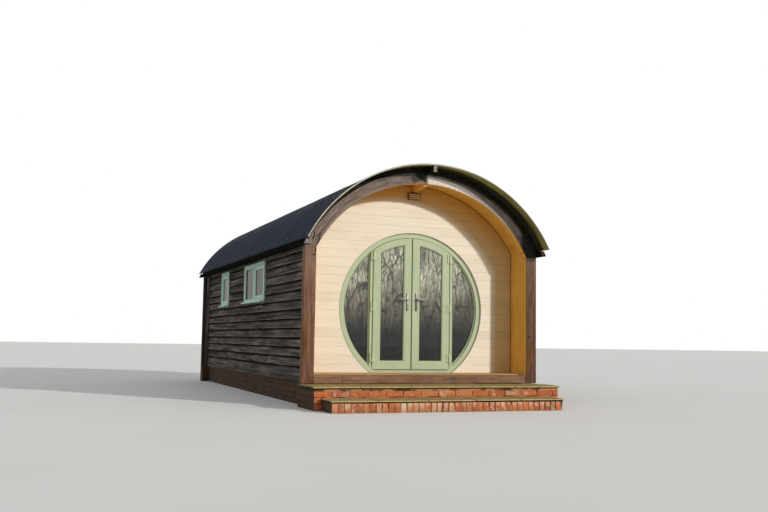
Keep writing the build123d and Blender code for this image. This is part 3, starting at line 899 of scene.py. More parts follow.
# Dark red-brown strips in the porch's corners: painted shade.
CORNER_SHADE = painted("corner_shade_strips", rgb(104, 58, 24), rgb(66, 34, 14), rough=0.6, grime=0.5)
BRICK = brickwork("brick", [rgb(150, 70, 38), rgb(192, 104, 56), rgb(198, 116, 64),
                            rgb(172, 80, 44), rgb(162, 94, 60), rgb(200, 128, 82)])
MORTAR = mortar_mix("mortar")
STONE = mossy_stone("paving_stone")
ROOF = roof_coating("roof_metal")
VERGE = verge_coating("verge_metal")
DARK_METAL = metal("handle_metal", (0.16, 0.155, 0.145), 0.34)
STEEL = metal("screw_steel", (0.34, 0.33, 0.31), 0.42)
HINGE = coated("hinge_coating", rgb(190, 202, 168), rgb(158, 168, 132))
BRONZE = coated("light_housing", rgb(110, 70, 34), rgb(66, 40, 18), rough=0.5)
LOUVRE = coated("light_louvres", rgb(246, 196, 118), rgb(196, 142, 74), rough=0.5)
GASKET = coated("gasket_rubber", rgb(30, 32, 24), rgb(48, 48, 36), rough=0.7)
# Both glazings carry painted reflections of sky and branches in their film.
GLASS = glazing("glazing", (0.22, 0.24, 0.23), rgb(224, 224, 200), 0.97, 1.42)
WINDOW_GLASS = glazing("window_glazing", (0.20, 0.19, 0.15), rgb(150, 136, 104), 0.35, 1.12)
INNER_WALL = lining("wall_lining", rgb(224, 216, 198), 0.12)
CEILING = lining("ceiling_lining", rgb(228, 221, 204), 0.11, round_arch=True)

for node_name, material in (
        ("wall_left", INNER_WALL), ("wall_right", INNER_WALL), ("ceiling", CEILING),
        ("sidelight_glass", GLASS), ("door_glass_left", GLASS), ("door_glass_right", GLASS),
        ("window_glass_left", WINDOW_GLASS), ("window_glass_right", WINDOW_GLASS)):
    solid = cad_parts[node_name]
    solid.data.materials.clear()
    solid.data.materials.append(material)


# Brick base with its platform and step

PLATFORM_BED = 0.024
BRICK_LENGTH = 0.215
BRICK_WIDTH = 0.1025
BRICK_HEIGHT = 0.065
BRICK_EDGE = 0.0035
MIN_BRICK = 0.03
MIN_COURSE = 0.004
OFF_TRUE = 0.0012
JOINT = 0.010
MORTAR_INSET = 0.005
STRETCHER_JOINT = -1.4006
STEP_PITCH = 0.075
PLINTH_START = FRONT + 0.150
PLINTH_SETBACK = 0.065

bricks = Piece()
mortar = Piece()


def course_cuts(start, end, joint):
    """Places of the joints in a run of stretchers that has one at a known place."""
    pitch = BRICK_LENGTH + JOINT
    first = joint - math.floor((joint - start) / pitch) * pitch
    cuts = [start]
    while first < end - MIN_BRICK:
        if first > start + MIN_BRICK:
            cuts.append(first)
        first += pitch
    return cuts + [end]


def laid_brick(corner_low, corner_high, along):
    """One brick, a little off true."""
    if corner_high[2] <= MIN_COURSE:
        return
    wobble = [draw.uniform(-OFF_TRUE, OFF_TRUE) for _ in range(3)]
    wobble[2] *= 0.5
    a = np.array(corner_low) + wobble
    b = np.array(corner_high) + wobble
    a[2] = max(a[2], 0.0)
    bar(bricks, np.maximum(a, corner_low), np.minimum(b, corner_high), along, BRICK_EDGE)


def brick_run(axis, start, end, face, inward, top, joint):
    """Courses of stretchers along one face, half-bonded, from their top down."""
    course = 0
    while top > MIN_COURSE:
        shift = (BRICK_LENGTH + JOINT) / 2 * (course % 2)
        cuts = course_cuts(start, end, joint + shift)
        foot = max(top - BRICK_HEIGHT, 0.0)
        across = sorted((face, face + inward * BRICK_WIDTH))
        for a, b in zip(cuts, cuts[1:]):
            a = a + (JOINT / 2 if a > start else 0)
            b = b - (JOINT / 2 if b < end else 0)
            if axis == 0:
                laid_brick((a, across[0], foot), (b, across[1], top), 0)
            else:
                laid_brick((across[0], a, foot), (across[1], b, top), 1)
        top -= BRICK_HEIGHT + JOINT
        course += 1


def side_runs(left, right, start, end, top, joint):
    """The same courses along two faces that look away from each other."""
    for face, inward in ((left, 1), (right, -1)):
        brick_run(1, start, end, face, inward, top, joint)


def mortar_core(node_low, node_high):
    bar(mortar, (node_low[0] + MORTAR_INSET, node_low[1] + MORTAR_INSET, 0),
        (node_high[0] - MORTAR_INSET, node_high[1] - MORTAR_INSET, node_high[2]), 0, 0.001)


def platform_brickwork():
    a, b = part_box("platform_bricks")
    top = b.z - PLATFORM_BED
    brick_run(0, a.x, b.x, a.y, 1, top, STRETCHER_JOINT)
    behind = a.y + BRICK_WIDTH + JOINT
    side_runs(a.x, b.x, behind, b.y, top, behind - JOINT / 2)
    mortar_core(a, b)


def step_brickwork():
    """A row of bricks on edge along the front, and stretchers on edge at the sides."""
    a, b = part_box("step_bricks")
    top = b.z - JOINT / 2
    place_in = a.x
    while place_in < b.x - MIN_BRICK:
        width = min(BRICK_HEIGHT, b.x - place_in)
        laid_brick((place_in, a.y, 0), (place_in + width, a.y + BRICK_LENGTH, top), 2)
        place_in += STEP_PITCH
    for face, inward in ((a.x, 1), (b.x, -1)):
        across = sorted((face, face + inward * BRICK_HEIGHT))
        laid_brick((across[0], a.y + BRICK_LENGTH + JOINT, 0), (across[1], b.y, top), 1)
    mortar_core(a, b)


def plinth_brickwork():
    a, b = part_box("plinth_walls")
    side = -low("cladding_left").x - PLINTH_SETBACK
    rear = b.y - BRICK_LENGTH
    top = b.z - JOINT / 2
    for face, inward in ((-side, 1), (side, -1)):
        brick_run(1, PLINTH_START, rear, face, inward, top, PLINTH_START + 0.1)
        near, far = sorted((face, face + inward * BRICK_WIDTH))
        mortar_core((near, PLINTH_START, 0), (far, rear, b.z))
    brick_run(0, a.x, b.x, b.y, -1, top, 0.0)
    brick_run(0, a.x, b.x, rear, 1, top, 0.0)
    between = BRICK_WIDTH + JOINT
    side_runs(a.x, b.x, rear + between, b.y - between, top, rear)
    mortar_core((a.x, rear, 0), (b.x, b.y, b.z))


platform_brickwork()
step_brickwork()
plinth_brickwork()
bricks.finish("brickwork", BRICK, "brick",
              replaces=("platform_bricks", "step_bricks", "plinth_walls"))
mortar.finish("mortar_joints", MORTAR, "brick")


# Paving slabs

SLAB_JOINT = 0.006
SLAB_GRID = 0.03
RIVEN_DROP = 0.0022
RIVEN_RELIEF = 0.0018
EDGE_ROUND = 0.006
UNDERCUT = 0.016
SETTLEMENT = 0.006
ROW_SHIFT = 0.3


def riven_slab(piece, corner_low, corner_high, edge_depth):
    """A paving slab with a riven top and worn, uneven edges."""
    columns, rows = [max(4, int((corner_high[k] - corner_low[k]) / SLAB_GRID))
                     for k in range(2)]
    xs = np.linspace(corner_low[0], corner_high[0], columns + 1)
    ys = np.linspace(corner_low[1], corner_high[1], rows + 1)
    seed = Vector([draw.uniform(0, 60) for _ in range(3)])
    top = []
    for y in ys:
        for x in xs:
            edge = min(x - xs[0], xs[-1] - x, y - ys[0], ys[-1] - y)
            relief = noise.fractal(Vector((x, y, 0)) * 14 + seed, 1.0, 2.0, 4)
            drop = RIVEN_DROP + RIVEN_RELIEF * relief
            if edge < 1e-6:
                drop += EDGE_ROUND + 0.003 * noise.noise(Vector((x, y, 0)) * 30 + seed)
            top.append((x, y, corner_high[2] - max(drop, 0.0)))
    width = columns + 1
    border = (list(range(width)) + [r * width + columns for r in range(1, rows + 1)]
              + [rows * width + k for k in range(columns - 1, -1, -1)]
              + [r * width for r in range(rows - 1, 0, -1)])
    points = list(top)
    rises = [1.0] * len(top)
    faces = [(r * width + c, r * width + c + 1, (r + 1) * width + c + 1, (r + 1) * width + c)
             for r in range(rows) for c in range(columns)]
    rings = [border]
    edge_foot = corner_high[2] - edge_depth
    for z, undercut, rise in ((edge_foot, 0.15, 0.7), (edge_foot - EDGE_ROUND, 1.0, 0.3),
                              (corner_low[2], 1.0, 0.0)):
        rings.append(range(len(points), len(points) + len(border)))
        for k in border:
            x, y, _ = top[k]
            chipped = undercut + 0.2 * noise.noise(Vector((x, y, 1)) * 24 + seed)
            inset_by = UNDERCUT * min(max(chipped, 0.0), 1.0)
            points.append((min(max(x, corner_low[0] + inset_by), corner_high[0] - inset_by),
                           min(max(y, corner_low[1] + inset_by), corner_high[1] - inset_by),
                           z))
            rises.append(rise)
    for upper, lower in zip(rings, rings[1:]):
        for k in range(len(border)):
            n = (k + 1) % len(border)
            faces.append((upper[k], upper[n], lower[n], lower[k]))
    faces.append(tuple(rings[-1]))
    piece.add(points, faces, rise=rises)


def paving(node, joints, rows, edge_depth):
    """Slabs in rows over one solid, the first row with its joints at given places."""
    a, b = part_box(node)
    piece = Piece()
    edges_y = np.linspace(a.y, b.y, rows + 1)
    for row in range(rows):
        shifted = [x + ROW_SHIFT * row for x in joints]
        cuts = [a.x] + [x for x in shifted if x < b.x - 0.2] + [b.x]
        for x0, x1 in zip(cuts, cuts[1:]):
            settled = b.z - SETTLEMENT * draw.random()
            riven_slab(piece, (x0 + SLAB_JOINT / 2, edges_y[row] + SLAB_JOINT / 2, a.z),
                       (x1 - SLAB_JOINT / 2, edges_y[row + 1] - SLAB_JOINT / 2, settled),
                       edge_depth)
    piece.finish(node.replace("slab", "paving"), STONE, "paving_stone", replaces=(node,),
                 sharp=50)


paving("platform_slab", (-1.04, -0.40, 0.40, 0.99), 2, 0.022)
paving("step_slab", (-0.965, -0.345, 0.259, 0.855), 1, 0.018)


# Floor boards of porch and room

BOARD_THICKNESS = 0.021
BOARD_GAP = 0.004
BOARD_FOOT = FLOOR_TOP - BOARD_THICKNESS
PORCH_ROWS = 3
PORCH_PITCH = (GABLE - FRAME_BACK) / PORCH_ROWS
PORCH_JOINT = 0.31
ROOM_SIDE = low("wall_right").x
ROOM_BOARDS = 22
ROOM_PITCH = 2 * ROOM_SIDE / ROOM_BOARDS
ROOM_GAP = 0.0006

floor_piece = Piece()
base_low, base_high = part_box("floor")
bar(floor_piece, (base_low.x, base_low.y + 0.004, base_low.z),
    (base_high.x, base_high.y, BOARD_FOOT), 0)
for row in range(PORCH_ROWS):
    y = FRAME_BACK + row * PORCH_PITCH
    for x0, x1 in ((-WALL_OUTER + BOARD_THICKNESS, PORCH_JOINT),
                   (PORCH_JOINT, WALL_OUTER - BOARD_THICKNESS)):
        bar(floor_piece, (x0 + 0.001, y + BOARD_GAP / 2, BOARD_FOOT),
            (x1 - 0.001, y + PORCH_PITCH - BOARD_GAP / 2, FLOOR_TOP), 0)
for column in range(ROOM_BOARDS):
    x = -ROOM_SIDE + column * ROOM_PITCH
    joint = GABLE + 1.2 + (column * 2.3) % 4.2
    for y0, y1 in ((GABLE, joint), (joint, REAR_WALL)):
        bar(floor_piece, (x + ROOM_GAP, y0, BOARD_FOOT),
            (x + ROOM_PITCH - ROOM_GAP, y1 - ROOM_GAP, FLOOR_TOP), 1, 0.0012)
floor_piece.finish("floor_boards", FLOOR_TIMBER, "floor_boards", replaces=("floor",))


# Timber end frames

NAIL_RADIUS = 0.0035
SILL_JOINT = -1.087
SILL_NAILS = [-1.35 + k * 0.335 for k in range(9)]
SILL_NAIL_ROWS = (0.3, 0.72)
ARCH_NAIL_INSET = 0.03
ARCH_NAIL_STEP = 6
ARCH_NAIL_LEAN = 9
FILLED_JOINTS = (-0.745, -0.130)
ARCH_JOINTS = (30, 90)
nails = Piece()
fillers = Piece()


def nail(x, y, z, outward):
    """A flat nail head on a face that looks along the pod."""
    profile = [(-0.001 * outward, NAIL_RADIUS), (0.0006 * outward, NAIL_RADIUS),
               (0.0012 * outward, NAIL_RADIUS * 0.7)]
    lathe(nails, profile, (x, y, z), 1, 10)


def end_frame(name, y0, y1, outward, post_stain, sill_stain, arch_stain):
    """Posts, sill beam and curved head of one end, with their nails."""
    # Faces that look into the porch take the cream paint with painted shade.
    face, inner = (y0, SHADED_CREAM) if outward < 0 else (y1, None)
    posts = Piece()
    bar(posts, (POST_INNER, y0, BASE_TOP), (POST_OUTER, y1, POST_TOP), 2, 0.006)
    posts.mirror()
    posts.finish(name + "_post_timbers", post_stain, "stained_timber",
                 replaces=(name + "_posts",), inner=inner)

    a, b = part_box(name + "_sill_beam")
    beam = Piece()
    bar(beam, a, (SILL_JOINT - 0.001, b.y, b.z), 0, 0.004)
    bar(beam, (SILL_JOINT + 0.001, a.y, a.z), b, 0, 0.004)
    for x in SILL_NAILS:
        for height in SILL_NAIL_ROWS:
            nail(x, face, a.z + (b.z - a.z) * height, outward)
    for x in FILLED_JOINTS:
        bar(fillers, (x - 0.0012, face - 0.0005, a.z + 0.030),
            (x + 0.0012, face + 0.0005, b.z - 0.003), 2, 0.0002)
        bar(fillers, (x - 0.005, face - 0.0006, b.z - 0.011),
            (x + 0.005, face + 0.0004, b.z - 0.003), 2, 0.0002)
    beam.finish(name + "_sill_timber", sill_stain, "stained_timber",
                replaces=(name + "_sill_beam",))

    arch = Piece()
    cuts = (foot_angle(ARCH_OUTER, POST_TOP), *(math.radians(a) for a in ARCH_JOINTS))
    for k, (start, end) in enumerate(zip(cuts, cuts[1:])):
        gap = 0.0012 if k == 0 else 0
        arch_bar(arch, (ARCH_INNER, ARCH_OUTER), (start, end - gap), y0, y1, 0.004, 8 + 30 * k,
                 foot=POST_TOP if k == 0 else None)
    arch.mirror()
    arch.finish(name + "_arch_timber", arch_stain, "stained_timber",
                replaces=(name + "_arch",), inner=inner)
    for side in (-1, 1):
        for degrees in range(*ARCH_JOINTS, ARCH_NAIL_STEP):
            for radius in (ARCH_INNER + ARCH_NAIL_INSET, ARCH_OUTER - ARCH_NAIL_INSET):
                angle = math.radians(degrees + ARCH_NAIL_LEAN * (radius - ARCH_INNER))
                nail(side * radius * math.cos(angle), face,
                     ARCH_CENTRE + radius * math.sin(angle), outward)


end_frame("front", FRONT, FRAME_BACK, -1, STAIN, SILL_STAIN, ARCH_STAIN)
end_frame("rear", REAR_FRAME, REAR, 1, REAR_TIMBER_IN_SHADE, REAR_TIMBER_IN_SHADE, REAR_ARCH_STAIN)


# Drying cracks at both feet of the front arch: places in x and z, and the width

CRACKS = (
    (((-1.478, 2.064), (-1.441, 2.076), (-1.401, 2.087)), 0.006),
    (((-1.492, 2.146), (-1.481, 2.115), (-1.487, 2.065), (-1.500, 2.025), (-1.510, 1.992)), 0.015),
    (((-1.399, 2.122), (-1.404, 2.09), (-1.417, 2.044), (-1.438, 1.993), (-1.456, 1.956)), 0.013),
    (((-1.462, 1.935), (-1.464, 1.90), (-1.463, 1.862)), 0.012),
    (((-1.576, 1.953), (-1.545, 1.961), (-1.515, 1.974)), 0.014),
    (((-1.490, 1.848), (-1.482, 1.838), (-1.476, 1.826)), 0.024),
    (((-1.484, 1.80), (-1.487, 1.775), (-1.486, 1.75)), 0.005),
    (((1.466, 1.930), (1.464, 1.905), (1.467, 1.870)), 0.008),
)
CRACK_STEP = 0.004
CRACK_PROUD = 0.0004
CRACK_DEPTH = 0.004


def crack(piece, points, width):
    """A ragged dark cleft that tapers to both ends, on the front face."""
    ends = [Vector(p) for p in points]
    runs = [(b - a).length for a, b in zip(ends, ends[1:])]
    reach = np.concatenate([[0], np.cumsum(runs)])
    steps = max(6, round(reach[-1] / CRACK_STEP))
    along = ends[-1] - ends[0]
    side = Vector((-along.y, along.x)).normalized()
    rings = []
    for share in np.linspace(0, 1, steps + 1):
        at = share * reach[-1]
        x = np.interp(at, reach, [end.x for end in ends])
        z = np.interp(at, reach, [end.y for end in ends])
        sway = [noise.noise(Vector((x * 70, z * 70, 5.0 * k))) for k in range(3)]
        half = width / 2 * (0.06 + 0.94 * math.sin(math.pi * share) ** 0.7)
        middle = Vector((x, z)) + side * sway[2] * 0.005
        near = middle - side * half * (1 + 0.9 * sway[0])
        far = middle + side * half * (1 + 0.9 * sway[1])
        rings.append([(end.x, y, end.y) for end, y in
                      ((near, FRONT - CRACK_PROUD), (far, FRONT - CRACK_PROUD),
                       (far, FRONT + CRACK_DEPTH), (near, FRONT + CRACK_DEPTH))])
    loft(piece, rings)


fillers.finish("sill_fillers", PALE_TIMBER, "stained_timber")
clefts = Piece()
for points, width in CRACKS:
    crack(clefts, points, width)
clefts.finish("drying_cracks", CLEFT, "stained_timber")


# Roof: beams, deck boards, corrugated sheets, verges and screws

def band_loop(inner, outer, z0, z1):
    """Outline between two circles and two heights, on the right side."""
    heights = np.linspace(z0, z1, 5) - ARCH_CENTRE
    out = [(half_chord(outer, h), h + ARCH_CENTRE) for h in heights]
    back = [(half_chord(inner, h), h + ARCH_CENTRE) for h in heights[::-1]]
    return np.array(out + back)


DECK_INNER = ARCH_OUTER + 0.0003
END_GRAIN = 0.0006
eaves_loop = band_loop(DECK_INNER, DECK_OUTER - 0.0003, EAVES_FOOT, EAVES_TOP)
eaves_ends = (low("eaves_beams").y, high("eaves_beams").y)
eaves = Piece()
plate(eaves, eaves_loop, "xz", *eaves_ends, 0.005, 1)
eaves.mirror()
eaves.finish("eaves_timbers", EAVES_IN_SHADE, "stained_timber", replaces=("eaves_beams",))
# Painted light: the left ends pale as lit end grain, the right ends dark as end grain in shade.
for side, end_painted_light in (("left", PALE_TIMBER), ("right", END_GRAIN_IN_SHADE)):
    cap = Piece()
    for y in eaves_ends:
        plate(cap, inset(eaves_loop, 0.0035), "xz", y - END_GRAIN, y + END_GRAIN, 0.0003, 1)
    if side == "left":
        cap.flip()
    cap.finish("eaves_end_grain_" + side, end_painted_light, "stained_timber")

RIDGE_HALF = high("ridge_beam").x
RIDGE_FOOT = low("ridge_beam").z
RIDGE_CROWN = high("ridge_beam").z
RIDGE_TOP = ARCH_CENTRE + half_chord(ARCH_INNER, RIDGE_HALF)
NOSE_LENGTH = 0.300
NOSE_RISE = 0.019


def ridge_outline():
    """Side view of the ridge beam: a curved nose under both ends, and its top notched to
    pass under the end frames."""
    front, rear = low("ridge_beam").y, high("ridge_beam").y
    shares = np.linspace(0, 1, 9)
    rise = RIDGE_FOOT + NOSE_RISE * (1 - shares) ** 1.25
    curve = np.stack([front + NOSE_LENGTH * shares, rise], axis=1)
    other = np.stack([rear - NOSE_LENGTH * shares, rise], axis=1)[::-1]
    notches = [(rear, RIDGE_TOP), (REAR_FRAME, RIDGE_TOP), (REAR_FRAME, RIDGE_CROWN),
               (FRAME_BACK, RIDGE_CROWN), (FRAME_BACK, RIDGE_TOP), (front, RIDGE_TOP)]
    return np.concatenate([curve, other, notches])


ridge = Piece()
plate(ridge, ridge_outline(), "yz", -RIDGE_HALF, RIDGE_HALF, 0.004, 1)
# The ridge beam takes the cream paint with painted shade.
ridge.finish("ridge_timber", SHADED_CREAM, "cream_paint", replaces=("ridge_beam",))

BLOCK_HALF = high("ridge_blocks").x
BLOCK_FOOT = low("ridge_blocks").z
BLOCK_TOP = high("ridge_blocks").z - 0.001
BLOCK_FRONT = SHEET_FRONT + 0.006
BLOCK_REAR = SHEET_REAR - 0.006
blocks = Piece()
for y0, y1 in ((BLOCK_FRONT, FRONT), (REAR, BLOCK_REAR)):
    bar(blocks, (-BLOCK_HALF, y0, BLOCK_FOOT), (BLOCK_HALF, y1, BLOCK_TOP), 1, 0.004)
blocks.finish("ridge_block_timbers", SHADED_ROOF_TIMBER, "roof_timber", replaces=("ridge_blocks",))
block_ends = Piece()
for y in (BLOCK_FRONT, BLOCK_REAR):
    bar(block_ends, (-BLOCK_HALF + 0.003, y - END_GRAIN, BLOCK_FOOT + 0.003),
        (BLOCK_HALF - 0.003, y + END_GRAIN, BLOCK_TOP - 0.003), 2, 0.0003)
block_ends.finish("ridge_block_end_grain", PALE_TIMBER, "roof_timber")

DECK_BOARDS = 30
DECK_GAP = 0.0004
deck = Piece()
deck_foot = foot_angle((DECK_INNER + DECK_OUTER) / 2, EAVES_TOP)
deck_step = (math.pi - 2 * deck_foot) / DECK_BOARDS
for k in range(DECK_BOARDS):
    start = deck_foot + k * deck_step
    back = draw.uniform(0.0, 0.004)
    span = (start + DECK_GAP, start + deck_step - DECK_GAP)
    arch_bar(deck, (DECK_INNER, DECK_OUTER - 0.0006), span, FRONT + back, REAR - back, 0.003, 3,
             along_y=True)
deck.finish("roof_deck_boards", SHADED_ROOF_TIMBER, "roof_timber", replaces=("roof_deck",))

WAVE = 0.076
WAVES_A_SHEET = 14
SAMPLES = 6
SHEET_METAL = 0.0012
ROUND_STEPS = 60
SHEET_LIFT = 0.0007


def corrugated_sheet(piece, y0, y1, lift):
    """One sheet curved over the arch, its waves running round it."""
    count = max(2, round((y1 - y0) / WAVE * SAMPLES))
    ys = np.linspace(y0, y1, count + 1)
    wave = np.cos((ys - SHEET_FRONT) / WAVE * 2 * math.pi)
    middle = (DECK_OUTER + SHEET_OUTER) / 2
    swing = SHEET_DEPTH / 2 - SHEET_METAL / 2 - 2 * SHEET_LIFT
    foot = foot_angle(SHEET_OUTER, SHEET_FOOT)
    angles = np.linspace(foot, math.pi - foot, ROUND_STEPS + 1)
    width = len(ys)
    for offset, outward in ((SHEET_METAL / 2, 1.0), (-SHEET_METAL / 2, 0.0)):
        radius = middle + swing * wave + lift + offset
        x = np.outer(np.cos(angles), radius)
        z = ARCH_CENTRE + np.outer(np.sin(angles), radius)
        y = np.broadcast_to(ys, x.shape)
        points = np.stack([x, y, z], axis=2).reshape(-1, 3)
        around = np.repeat(angles * middle, width)
        grain = np.stack([around, np.tile(ys, len(angles)), np.zeros(len(around))], axis=1)
        r, c = np.meshgrid(range(ROUND_STEPS), range(width - 1), indexing="ij")
        a = (r * width + c).ravel()
        faces = np.stack([a, a + 1, a + width + 1, a + width], axis=1)
        piece.add(points, faces, grain, outward)
    top, under = piece.count - 2 * width * len(angles), piece.count - width * len(angles)
    edges = [(k * width + c, width) for k in range(ROUND_STEPS) for c in (0, width - 1)]
    edges += [(k * width + c, 1) for c in range(width - 1) for k in (0, ROUND_STEPS)]
    for a, step in edges:
        piece.faces.append((top + a, top + a + step, under + a + step, under + a))


roof = Piece()
sheet_y = SHEET_FRONT
turn = 0
while sheet_y < SHEET_REAR - WAVE:
    sheet_end = min(sheet_y + (WAVES_A_SHEET + 1) * WAVE, SHEET_REAR)
    corrugated_sheet(roof, sheet_y, sheet_end, SHEET_LIFT * (1 if turn % 2 else -1))
    sheet_y += WAVES_A_SHEET * WAVE
    turn += 1
roof.finish("roof_sheets", ROOF, "roof_metal", replaces=("roof_sheet",), sharp=60)

VERGE_DEPTH = 0.016
VERGE_THICKNESS = 0.004
verges = Piece()
verge_foot = foot_angle(SHEET_OUTER, SHEET_FOOT + 0.001)
for y0, y1 in ((SHEET_FRONT, SHEET_FRONT + VERGE_THICKNESS),
               (SHEET_REAR - VERGE_THICKNESS, SHEET_REAR)):
    arch_bar(verges, (SHEET_OUTER - VERGE_DEPTH, SHEET_OUTER - 0.0004),
             (verge_foot, math.pi - verge_foot), y0, y1, 0.0008, 64)
verges.finish("verge_strips", VERGE, "roof_metal")

SCREW_ROWS = 7
SCREW_PITCH = 4 * WAVE
SCREW_PROFILE = ((-0.0025, 0.009), (-0.0012, 0.009), (-0.0010, 0.0055), (-0.0002, 0.005))
screws = Piece()
screw_foot = foot_angle(SHEET_OUTER, SHEET_FOOT + 0.06)
for angle in np.linspace(screw_foot, math.pi - screw_foot, SCREW_ROWS):
    out = np.array((math.cos(angle), 0, math.sin(angle)))
    side = np.array((-math.sin(angle), 0, math.cos(angle)))
    along = np.array((0, 1, 0))
    for y in np.arange(SHEET_FRONT + 2 * WAVE, SHEET_REAR - WAVE, SCREW_PITCH):
        middle = np.array((0, y, ARCH_CENTRE))
        rings = []
        for rise, radius in SCREW_PROFILE:
            rings.append([middle + out * (SHEET_OUTER + rise)
                          + radius * (side * math.cos(t) + along * math.sin(t))
                          for t in np.linspace(0, 2 * math.pi, 7)[:-1]])
        loft(screws, rings)
screws.finish("roof_screws", STEEL, "roof_metal", sharp=40)


# Porch lining: soffit boards and cheeks, in cream paint with painted shade

SOFFIT_BOARDS = 26
SOFFIT_THICKNESS = 0.020
SOFFIT_GAP = 0.0003
CHEEK_BOARDS = 3
CHEEK_PITCH = (GABLE - FRAME_BACK) / CHEEK_BOARDS
CHEEK_GAP = 0.0004
CHEEK_OUTER = high("porch_cheeks").x
CHEEK_INNER = CHEEK_OUTER - BOARD_THICKNESS
CHEEK_HEAD = ARCH_CENTRE + half_chord(SOFFIT_INNER, CHEEK_INNER)
porch = Piece()
soffit_foot = math.acos(CHEEK_INNER / SOFFIT_INNER)
soffit_step = (math.pi - 2 * soffit_foot) / SOFFIT_BOARDS
for k in range(SOFFIT_BOARDS):
    start = soffit_foot + k * soffit_step
    arch_bar(porch, (SOFFIT_INNER, SOFFIT_INNER + SOFFIT_THICKNESS),
             (start + SOFFIT_GAP, start + soffit_step - SOFFIT_GAP), FRAME_BACK, GABLE,
             0.0022, 2, along_y=True)
porch.finish("porch_soffit_boards", SHADED_CREAM, "cream_paint", replaces=("porch_soffit",))

cheeks = Piece()
for k in range(CHEEK_BOARDS):
    y = FRAME_BACK + k * CHEEK_PITCH
    bar(cheeks, (CHEEK_INNER, y + CHEEK_GAP, FLOOR_TOP),
        (CHEEK_OUTER, y + CHEEK_PITCH - CHEEK_GAP, CHEEK_HEAD + 0.012), 2, 0.0025)
cheeks.mirror()
cheeks.finish("porch_cheek_boards", SHADED_CREAM, "cream_paint", replaces=("porch_cheeks",))


# Painted shade: dark strips in the corner between the porch lining and the gable, and round
# the door ring

CORNER_SHADE_WIDTH = 0.007
RING_SHADE_WIDTH = 0.0035
shade_strips = Piece()
arch_bar(shade_strips, (SOFFIT_INNER - CORNER_SHADE_WIDTH, SOFFIT_INNER), (soffit_foot, math.pi - soffit_foot),
         GABLE - CORNER_SHADE_WIDTH, GABLE, 0.0015, 60)
for side in (-1, 1):
    near, far = sorted((side * (CHEEK_INNER - CORNER_SHADE_WIDTH), side * CHEEK_INNER))
    bar(shade_strips, (near, GABLE - CORNER_SHADE_WIDTH, FLOOR_TOP), (far, GABLE, CHEEK_HEAD), 2, 0.0015)
ring_foot = foot_angle(DOOR_RADIUS, FLOOR_TOP, DOOR_CENTRE)
arch_bar(shade_strips, (DOOR_RADIUS, DOOR_RADIUS + RING_SHADE_WIDTH), (ring_foot, math.pi - ring_foot),
         GABLE - 0.003, GABLE, 0.001, 96, centre=DOOR_CENTRE)
shade_strips.finish("corner_shade_strips", CORNER_SHADE, "cream_paint")


# End walls of horizontal boards

HOLE_RADIUS = DOOR_RADIUS + 0.0003
WALL_TOP = ARCH_CENTRE + ARCH_OUTER - 0.002


def outer_edge(z):
    """Half the width of an end wall at a height, under the roof deck."""
    return min(WALL_OUTER, half_chord(ARCH_OUTER - 0.0003, max(z - ARCH_CENTRE, 0)))


def hole_edge(z):
    """Half the width of the round door opening at a height."""
    return half_chord(HOLE_RADIUS, z - DOOR_CENTRE)


def wall_boards(piece, y0, y1, pitch, first, bevel, holed):
    """Boards stacked up an end wall and cut to the roof and the door."""
    z0 = FLOOR_TOP
    z1 = z0 + first
    while z0 < WALL_TOP - 0.01:
        heights = np.linspace(z0 + 0.0003, z1 - 0.0003, 7)
        right = [(outer_edge(z), z) for z in heights]
        left = [(-x, z) for x, z in right[::-1]]
        if not holed or hole_edge(z0) == 0:
            plate(piece, right + left, "xz", y0, y1, bevel, 0)
        elif z1 < DOOR_CENTRE + DOOR_RADIUS:
            cut = right + [(hole_edge(z), z) for z in heights[::-1]]
            plate(piece, cut, "xz", y0, y1, bevel, 0, draw.random())
            plate(piece, [(-x, z) for x, z in cut[::-1]], "xz", y0, y1, bevel, 0, draw.random())
        else:
            reach = math.acos((z0 - DOOR_CENTRE) / HOLE_RADIUS)
            bow = [(math.sin(t) * DOOR_RADIUS, DOOR_CENTRE + math.cos(t) * DOOR_RADIUS)
                   for t in np.linspace(-reach, reach, 25)]
            plate(piece, right + left + bow, "xz", y0, y1, bevel, 0)
        z0, z1 = z1, min(z1 + pitch, WALL_TOP)


GABLE_PITCH = 0.113
GABLE_FIRST = 0.1055
gable = Piece()
wall_boards(gable, GABLE, GABLE_BACK, GABLE_PITCH, GABLE_FIRST, 0.0022, True)
gable.finish("gable_boards", CREAM, "cream_paint", replaces=("front_gable",))

BOARD_PITCH = 0.1215
rear_wall = Piece()
wall_boards(rear_wall, REAR_WALL, REAR_FRAME - 0.022, BOARD_PITCH, BOARD_PITCH, 0.002, False)
rear_wall.finish("rear_wall_lining", CREAM, "lining_paint")


# Dark feather-edge boards

BOARD_BUTT = 0.022
BOARD_TAPER = 0.016
BOARD_WAVES = 0.0016
BOARD_JOINT = 0.0008
FIRST_COURSE = 0.068
FOOT_WAVES = 0.007
BOARD_STEP = 0.16
BOARD_EDGE = 0.003
CORNER_BOARD = 0.045


